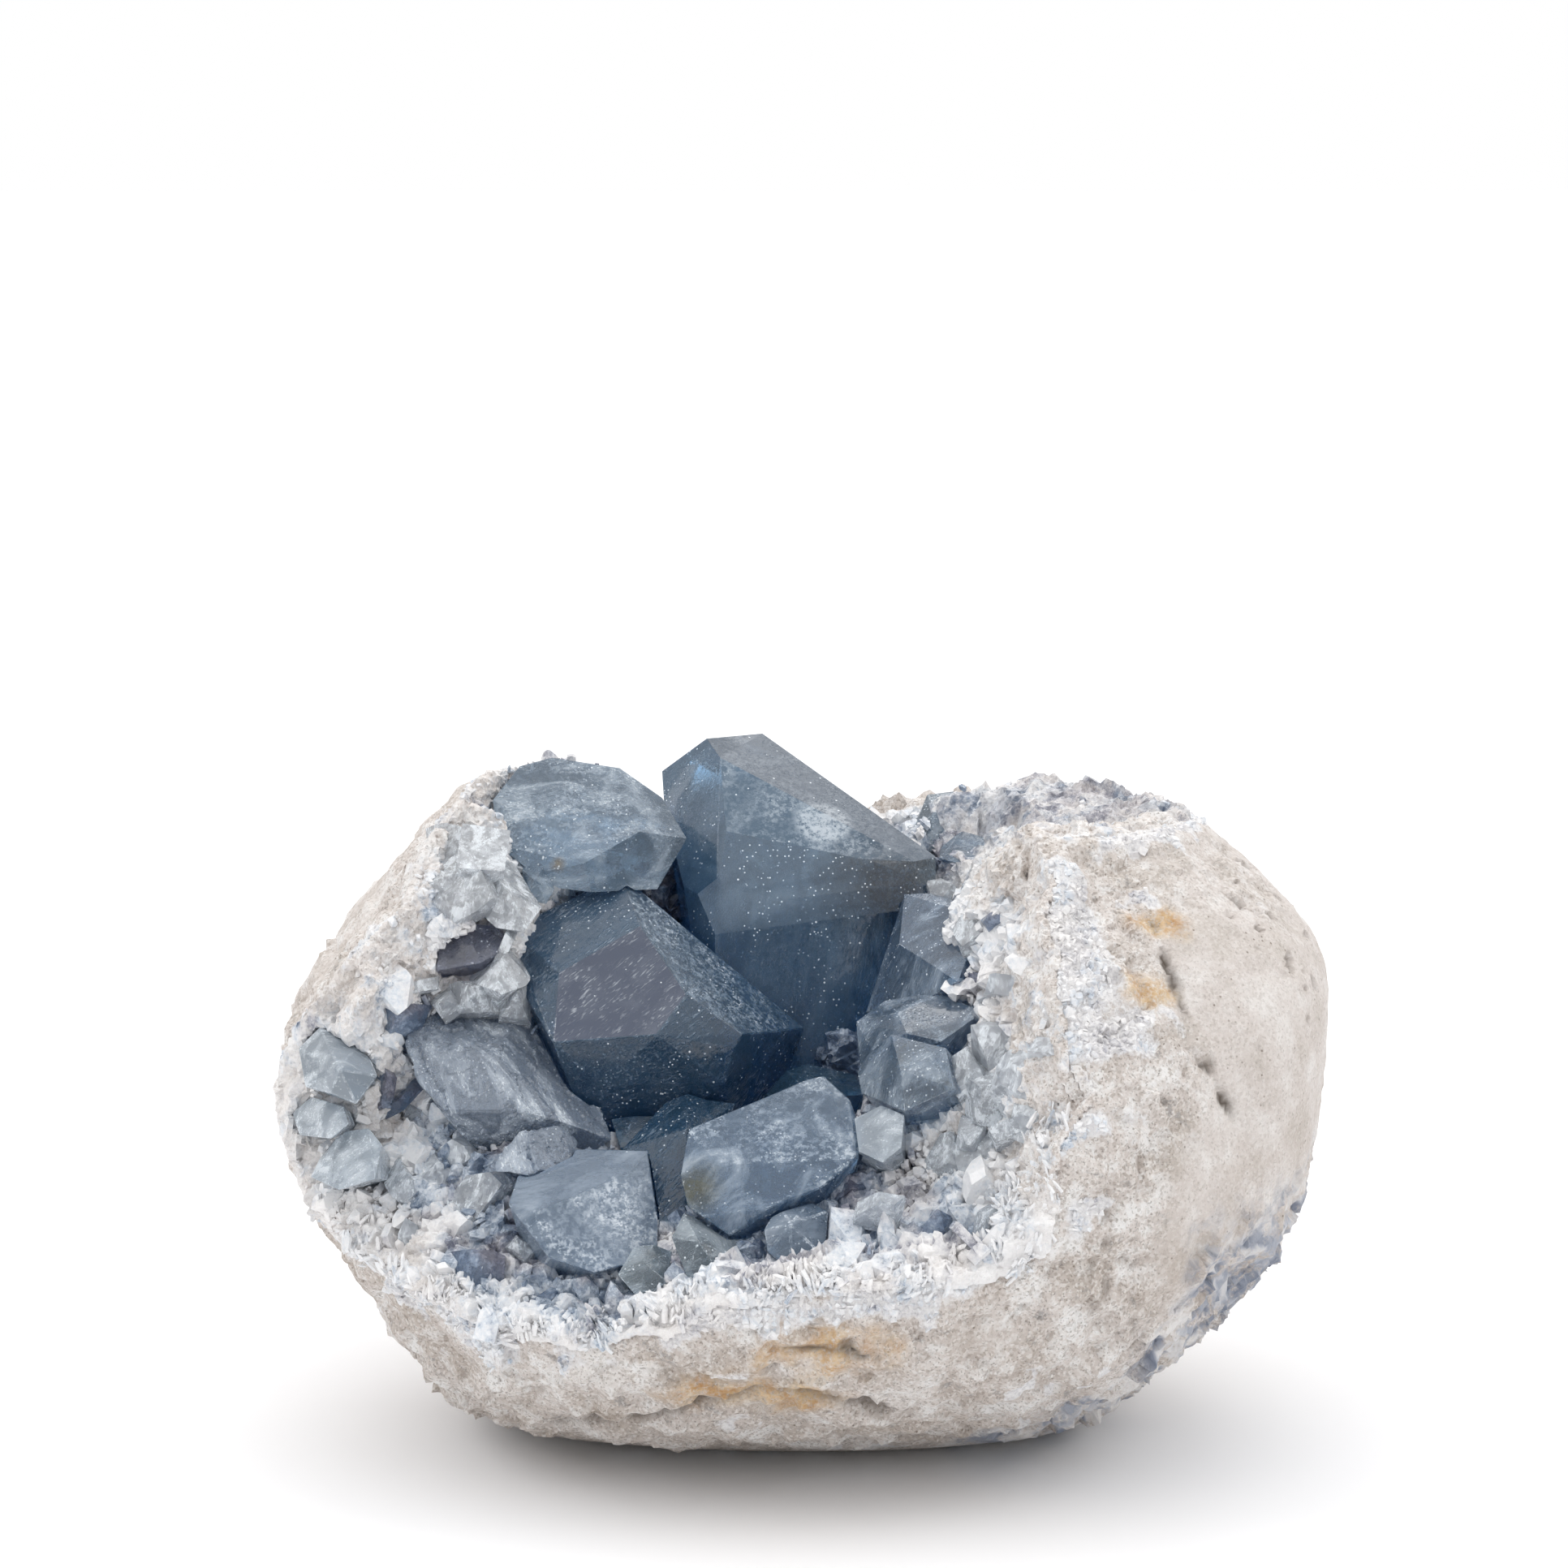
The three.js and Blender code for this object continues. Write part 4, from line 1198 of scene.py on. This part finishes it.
# %% [markdown]
# ## Druse
# Between the large crystals stand hundreds of small ones, grown into the crust
# and into one another. Seventeen shapes are cut from blocks with a few planes each,
# as a jeweller facets a stone. Chunks of 3 to 8 mm stand where the eye meets them
# first, smaller ones fill the gaps, and white sugar of a millimetre sits along the
# broken rim. None stands inside a large crystal. Copies are written straight into
# a few meshes, because thousands of operator calls would take too long.

# %% How a small shape is cut
dice = np.random.default_rng(11)


def cut_block(name, size, cuts):
    """Corners and faces of a block after its cuts, rows of a place and a direction."""
    bpy.ops.object.select_all(action="DESELECT")
    bpy.ops.mesh.primitive_cube_add(size=1)
    block = bpy.context.object
    block.name = name
    bpy.ops.object.mode_set(mode="EDIT")
    bpy.ops.transform.resize(value=size)
    for through, direction in cuts:
        bpy.ops.mesh.select_all(action="SELECT")
        plane = {"plane_co": through, "plane_no": direction}
        bpy.ops.mesh.bisect(**plane, use_fill=True, clear_outer=True)
    bpy.ops.object.mode_set(mode="OBJECT")
    corners = points_of(block)
    faces = [tuple(f.vertices) for f in block.data.polygons]
    bpy.data.objects.remove(block)
    return corners, faces


def random_cuts(count, low, high, upward):
    """Cuts at a distance from low to high that lie on top, the more so with upward."""
    cuts = []
    for _ in range(count):
        direction = dice.normal(size=3)
        direction[2] = abs(direction[2]) * upward
        direction /= np.linalg.norm(direction)
        cuts.append((tuple(direction * dice.uniform(low, high)), tuple(direction)))
    return cuts


# %% Seventeen small shapes
shapes = {"block": [], "spike": [], "plate": [], "needle": []}
for number in range(6):
    size = (1.0, dice.uniform(0.7, 1.0), dice.uniform(1.0, 1.4))
    cuts = random_cuts(7, 0.34, 0.5, 1.2)
    shapes["block"].append(cut_block(f"block_{number}", size, cuts))
for number in range(4):
    lean = dice.uniform(-0.2, 0.2)
    wedge = [((0, 0, 0.72), (1.0, lean, 0.8)), ((0, 0, 0.72), (-1.0, -lean, 0.7))]
    wedge += [((0, 0, 0.78), (lean, 1.0, 0.6)), ((0, 0, 0.75), (-lean, -1.0, 0.8))]
    size = (0.7, dice.uniform(0.4, 0.6), 1.6)
    shapes["spike"].append(cut_block(f"spike_{number}", size, wedge))
for number in range(4):
    cuts = random_cuts(4, 0.3, 0.5, 1.0)
    shapes["plate"].append(cut_block(f"plate_{number}", (1.1, 0.3, 1.1), cuts))
for number in range(3):
    wedge = [((0, 0, 0.4), (1.0, 0.3 * number, 0.35)), ((0, 0, 0.4), (-1.0, 0.5, 0.3))]
    wedge += [((0, 0, 0.42), (0.2, -1.0, 0.3))]
    size = (0.2, 0.14 + 0.03 * number, 1.0)
    shapes["needle"].append(cut_block(f"needle_{number}", size, wedge))
for kind, group in shapes.items():
    print(kind, "faces:", [len(faces) for _, faces in group])

# %% Room between the large crystals
crystal_rooms = []
for crystal, row in zip(crystals, LARGE):
    low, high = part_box(row[0])
    crystal_rooms.append((surface_tree(crystal), np.array(low), np.array(high)))
print("crystals to keep clear of:", len(crystal_rooms))


def clear_of_crystals(point, reach):
    """Whether a point is outside every large crystal and farther than reach from it."""
    for surface, low, high in crystal_rooms:
        if (point < low - reach).any() or (point > high + reach).any():
            continue
        where, normal, _, gap = surface.find_nearest(Vector(point))
        if (Vector(point) - where).dot(normal) < 0 or gap < reach:
            return False
    return True


# %% Strewing
def strew(guide, per_square_mm, sizes, seed):
    """Points on the guide's open side, each with its normal and a size in mm.

    The sizes follow a lognormal curve: its middle and spread, the least and the most.
    """
    middle, spread, least, most = sizes
    chooser = np.random.default_rng(seed)
    guide.data.calc_loop_triangles()
    corners = points_of(guide)
    found = []
    for triangle in guide.data.loop_triangles:
        a, b, c = (corners[k] for k in triangle.vertices)
        area = np.linalg.norm(np.cross(b - a, c - a)) / 2 / MM**2
        normal = np.array(triangle.normal)
        for _ in range(chooser.poisson(area * per_square_mm)):
            u, v = sorted(chooser.random(2))
            point = a * u + b * (v - u) + c * (1 - v)
            # a place with marl just above it lies against the rind
            above = Vector(point + normal * 0.05 * MM)
            if rind_surface.ray_cast(above, Vector(normal), 1.2 * MM)[0] is None:
                size = np.clip(chooser.lognormal(middle, spread), least, most)
                found.append((point, normal, size))
    return found


def keep_apart(found, share, standing=()):
    """Larger ones first; each keeps a share of the two sizes from those that stand."""
    centres = [k[0] for k in standing]
    sizes = [k[2] for k in standing]
    fresh = []
    for one in sorted(found, key=lambda f: -f[2]):
        if centres:
            gaps = np.linalg.norm(np.array(centres) - one[0], axis=1) / MM
            if (gaps < share * (np.array(sizes) + one[2])).any():
                continue
        centres.append(one[0])
        sizes.append(one[2])
        fresh.append(one)
    return fresh


# %% One mesh of many crystals
def build_druse(name, stands, kinds, lean, sink, material, slot, seed):
    """stands: rows of point, normal, size in mm, and tone, 0 dark and clear to 1 white.

    Each leans by chance and is sunk into the ground by a share of its size.
    """
    chooser = np.random.default_rng(seed)
    all_points, all_faces, notes, count = [], [], [], 0
    for point, normal, size, tone in stands:
        group = shapes[kinds[chooser.integers(len(kinds))]]
        corners, faces = group[chooser.integers(len(group))]
        up = normal + chooser.normal(size=3) * lean
        up /= np.linalg.norm(up)
        side = np.cross(up, chooser.normal(size=3))
        side /= np.linalg.norm(side)
        turn = np.stack([side, np.cross(up, side), up])
        stretch = np.array([chooser.uniform(0.8, most) for most in (1.2, 1.2, 1.3)])
        foot = point - up * size * sink * MM
        all_points.append((corners * stretch * size * MM) @ turn + foot)
        all_faces += [tuple(v + count for v in f) for f in faces]
        notes.append(np.full(len(corners), tone))
        count += len(corners)
    mesh = bpy.data.meshes.new(name)
    mesh.from_pydata(np.concatenate(all_points).tolist(), [], all_faces)
    piece = bpy.data.objects.new(name, mesh)
    bpy.context.scene.collection.objects.link(piece)
    write_attribute(piece, "tone", np.concatenate(notes))
    write_attribute(piece, "frost", np.concatenate(notes) * 0.9)
    finish_piece(piece, material, slot)
    mesh.calc_loop_triangles()
    print(name, "crystals:", len(stands), "triangles:", len(mesh.loop_triangles))
    return piece


# %% Crystals that can be told apart
# place and direction in mm, size in mm, tone
SINGLES = [
    ((-53.5, -18.7, 63.0), (0.5, -0.8, 0.3), 6.5, 0.05),
    ((-51.1, -16.7, 66.5), (0.4, -0.8, 0.3), 5.0, 0.8),
    ((-53.1, -18.3, 49.3), (0.3, -0.8, 0.5), 5.5, 0.7),
    ((-46.1, -24.7, 45.5), (0.1, -0.7, 0.7), 4.8, 0.9),
    ((-49.8, -26.6, 42.3), (0.0, -0.7, 0.7), 5.2, 0.9),
    ((-53.6, -27.2, 40.8), (-0.2, -0.7, 0.6), 5.5, 0.5),
    ((-42.5, -29.3, 41.4), (0.0, -0.7, 0.7), 8.5, 0.35),
    ((-40.8, -39.8, 32.5), (-0.1, -0.7, 0.7), 7.5, 0.0),
    ((-52.8, -31.3, 35.7), (-0.4, -0.5, 0.8), 4.5, 1.0),
    ((-37.7, -37.5, 35.2), (-0.1, -0.7, 0.7), 5.0, 0.45),
    ((-34.0, -44.0, 30.5), (0.0, -0.7, 0.7), 5.0, 0.2),
    ((25.6, -21.5, 76.4), (-0.4, -0.8, 0.4), 4.0, 0.1),
    ((23.4, -23.0, 68.9), (-0.5, -0.8, 0.3), 5.0, 0.05),
    ((26.2, -31.2, 69.5), (-0.6, -0.6, 0.4), 8.0, 0.85),
    ((25.7, -32.9, 61.6), (-0.6, -0.7, 0.2), 8.5, 0.95),
    ((18.1, -37.5, 47.3), (-0.3, -0.8, 0.5), 7.0, 0.75),
    ((22.8, -39.4, 48.9), (-0.4, -0.7, 0.5), 6.0, 0.6),
    ((17.2, -47.0, 40.4), (-0.1, -0.6, 0.8), 6.0, 0.15),
    ((23.5, -48.1, 42.4), (-0.3, -0.6, 0.8), 6.0, 0.35),
    ((21.9, -17.4, 73.9), (-0.6, -0.6, 0.4), 7.0, 0.5),
    ((19.4, 5.2, 75.4), (-0.6, -0.6, 0.4), 6.0, 0.45),
    ((28.4, -43.6, 54.2), (-0.5, -0.7, 0.4), 5.0, 0.9),
    ((10.0, -46.5, 43.5), (0.0, -0.6, 0.8), 6.0, 0.4),
    ((-44.5, -11.5, 80.0), (0.2, -0.6, -0.5), 8.0, 0.6),
    ((-46.5, -14.5, 77.0), (0.3, -0.7, -0.6), 9.0, 0.6),
    ((-40.0, -12.5, 76.5), (0.3, -0.7, -0.6), 7.5, 0.55),
    ((-49.0, -13.5, 80.0), (0.3, -0.7, 0.6), 5.0, 0.8),
    ((-47.5, -6.5, 84.5), (0.3, -0.8, 0.4), 5.0, 0.7),
    ((-40.5, -14.5, 72.0), (0.5, -0.7, 0.0), 5.0, 0.45),
    ((-41.5, -14.5, 67.0), (0.2, -0.9, 0.2), 8.5, 0.35),
    ((-45.0, -15.0, 64.0), (0.0, -0.9, 0.3), 8.5, 0.3),
    ((-39.5, -14.0, 63.0), (0.2, -0.8, 0.4), 7.0, 0.3),
    ((-48.5, -16.0, 63.5), (0.2, -0.8, 0.4), 7.0, 0.35),
    ((-56.2, -21.5, 54.4), (0.5, -0.8, 0.2), 6.0, 0.1),
    ((-53.3, -20.0, 52.5), (0.1, -1.0, 0.2), 6.0, 0.0),
    ((21.5, -35.0, 57.5), (-0.3, -0.8, 0.4), 8.0, 0.7),
    ((24.0, -38.0, 54.5), (-0.4, -0.8, 0.4), 8.0, 0.75),
    ((27.0, -41.0, 59.0), (-0.7, -0.6, 0.3), 8.0, 0.85),
    ((26.5, -42.5, 52.0), (-0.6, -0.7, 0.3), 8.0, 0.8),
    ((22.0, -38.0, 50.5), (-0.4, -0.8, 0.4), 7.0, 0.7),
    ((31.0, -44.5, 64.0), (-0.6, -0.7, 0.2), 7.0, 0.9),
]
singles = []
for point, normal, size, tone in SINGLES:
    singles.append((np.array(point) * MM, np.array(normal), size, tone))
print("crystals placed by hand:", len(singles))


# %% What a strewn crystal takes from its place
# the deep corner right of the great crystal is bare, in mm
BARE_CORNER = (4.3, -1.5, 53.5)


def with_tone(found, seed, whiter=0.0):
    """Adds the coat's tone to each row, with a little chance in it."""
    chooser = np.random.default_rng(seed)
    points = np.array([f[0] for f in found])
    tone = coat_at(points, rim_distance(points))[0]
    tone = np.clip(tone + chooser.normal(size=len(tone)) * 0.12 + whiter, 0, 1)
    return [(*one, shade) for one, shade in zip(found, tone)]


def where_bare(found, gap, from_rim):
    """Leaves out those by the rim, on marl, on the top patch and inside a large crystal."""
    points = np.array([f[0] for f in found])
    x, y, z = points.T / MM
    inward = rim_distance(points)
    marly = coat_at(points, inward)[1]
    on_top = (x > 16) & (y > -8) & (z > 76)
    fits = (marly < 0.4) & (inward > from_rim) & ~on_top
    fits &= distance_to(points, BARE_CORNER) > 7
    fitting = [f for f, fit in zip(found, fits) if fit]
    return [f for f in fitting if clear_of_crystals(f[0], f[2] * gap * MM)]


# %% Clear ones, chunks and fill
MIXED = ["block", "spike", "plate"]
found = strew(crust_guide, 0.14, (1.5, 0.3, 2.8, 9), 5)
chunks = with_tone(keep_apart(where_bare(found, 0.2, 4), 0.32, singles), 6)
see_through = [one for one in singles if one[3] >= 0.3]
build_druse("druse_clear", see_through, MIXED, 0.25, 0.2, small_clear, PALE, 20)
chunks += [one for one in singles if one[3] < 0.3]
build_druse("druse_chunks", chunks, MIXED, 0.35, 0.25, sugar, "crust", 21)

found = strew(crust_guide, 0.45, (0.6, 0.35, 1.0, 3.4), 7)
fill = keep_apart(where_bare(found, 0.25, 2.5), 0.3, chunks + see_through)
pointed = ["block", "spike", "spike", "plate"]
build_druse("druse_fill", with_tone(fill, 8), pointed, 0.45, 0.15, sugar, "crust", 22)

# %% Sugar along the rim
# none in front of the block and the dark chunk on the back rim, all in mm
BACK_RIM = (21.0, 8.0, 83.0)
BACK_RIM_REACH = 9
found = strew(crust_guide, 1.6, (-0.3, 0.35, 0.4, 1.3), 9)
points = np.array([f[0] for f in found])
tone, marly = coat_at(points, rim_distance(points))
clumps = soft_step(-0.2, 0.4, lumps(points, 4, 90))
luck = np.random.default_rng(10).random(len(found))
wanted = luck < soft_step(0.35, 0.8, tone) * clumps * (1 - marly)
wanted &= distance_to(points, BACK_RIM) > BACK_RIM_REACH
found = [f for f, want in zip(found, wanted) if want]
found = [f for f in found if clear_of_crystals(f[0], 0.3 * MM)]
grainy = ["spike", "spike", "block"]
build_druse("druse_sugar", with_tone(found, 12, 0.15), grainy, 0.6, 0.1, sugar, "crust", 23)

# %% Frost needles on the front rim
# they stand in tufts, and each tuft fans out a little
found = strew(crust_guide, 1.6, (0.35, 0.35, 0.8, 2.4), 13)
points = np.array([f[0] for f in found])
along_front = soft_step(-22, -32, points[:, 1] / MM) * soft_step(60, 46, points[:, 2] / MM)
by_rim = soft_step(6, 1.5, rim_distance(points))
luck = np.random.default_rng(14).random(len(found))
clumps = soft_step(-0.4, 0.3, lumps(points, 4, 93))
wanted = luck < along_front * clumps * by_rim
tufts = keep_apart([f for f, want in zip(found, wanted) if want], 0.3)
chooser = np.random.default_rng(17)
needles = []
for point, normal, size in tufts:
    upward = normal * 0.6 + np.array([0, 0.3, 0.5]) + chooser.normal(size=3) * 0.35
    upward /= np.linalg.norm(upward)
    for _ in range(9):
        base = point + chooser.normal(size=3) * 0.3 * size * MM
        if clear_of_crystals(base, 0.3 * MM):
            fanned = upward + chooser.normal(size=3) * 0.3
            needles.append((base, fanned, size * chooser.uniform(0.6, 1.2)))
build_druse("druse_needles", with_tone(needles, 15), ["needle"], 0.05, 0.0, sugar, "crust", 24)

# %% White grains on the marl below the rim
chooser = np.random.default_rng(16)
white_marl = outer & (white > 0.55) & (to_crust < 12) & (z > 12)
white_marl &= distance_to(place, BACK_RIM) > BACK_RIM_REACH
whitest = np.flatnonzero(white_marl)
chosen = chooser.choice(whitest, size=min(5000, len(whitest)), replace=False)
white_ones = []
for k in chosen:
    size, tone = chooser.uniform(0.4, 1.1), chooser.uniform(0.75, 1.0)
    white_ones.append((place[k], outward[k], size, tone))
build_druse("white_grains", white_ones, ["block", "plate"], 0.6, 0.1, sugar, "crust", 25)

# %% Finish
for guide in (crust_guide, rind_guide):
    bpy.data.objects.remove(guide)
bpy.ops.object.select_all(action="DESELECT")
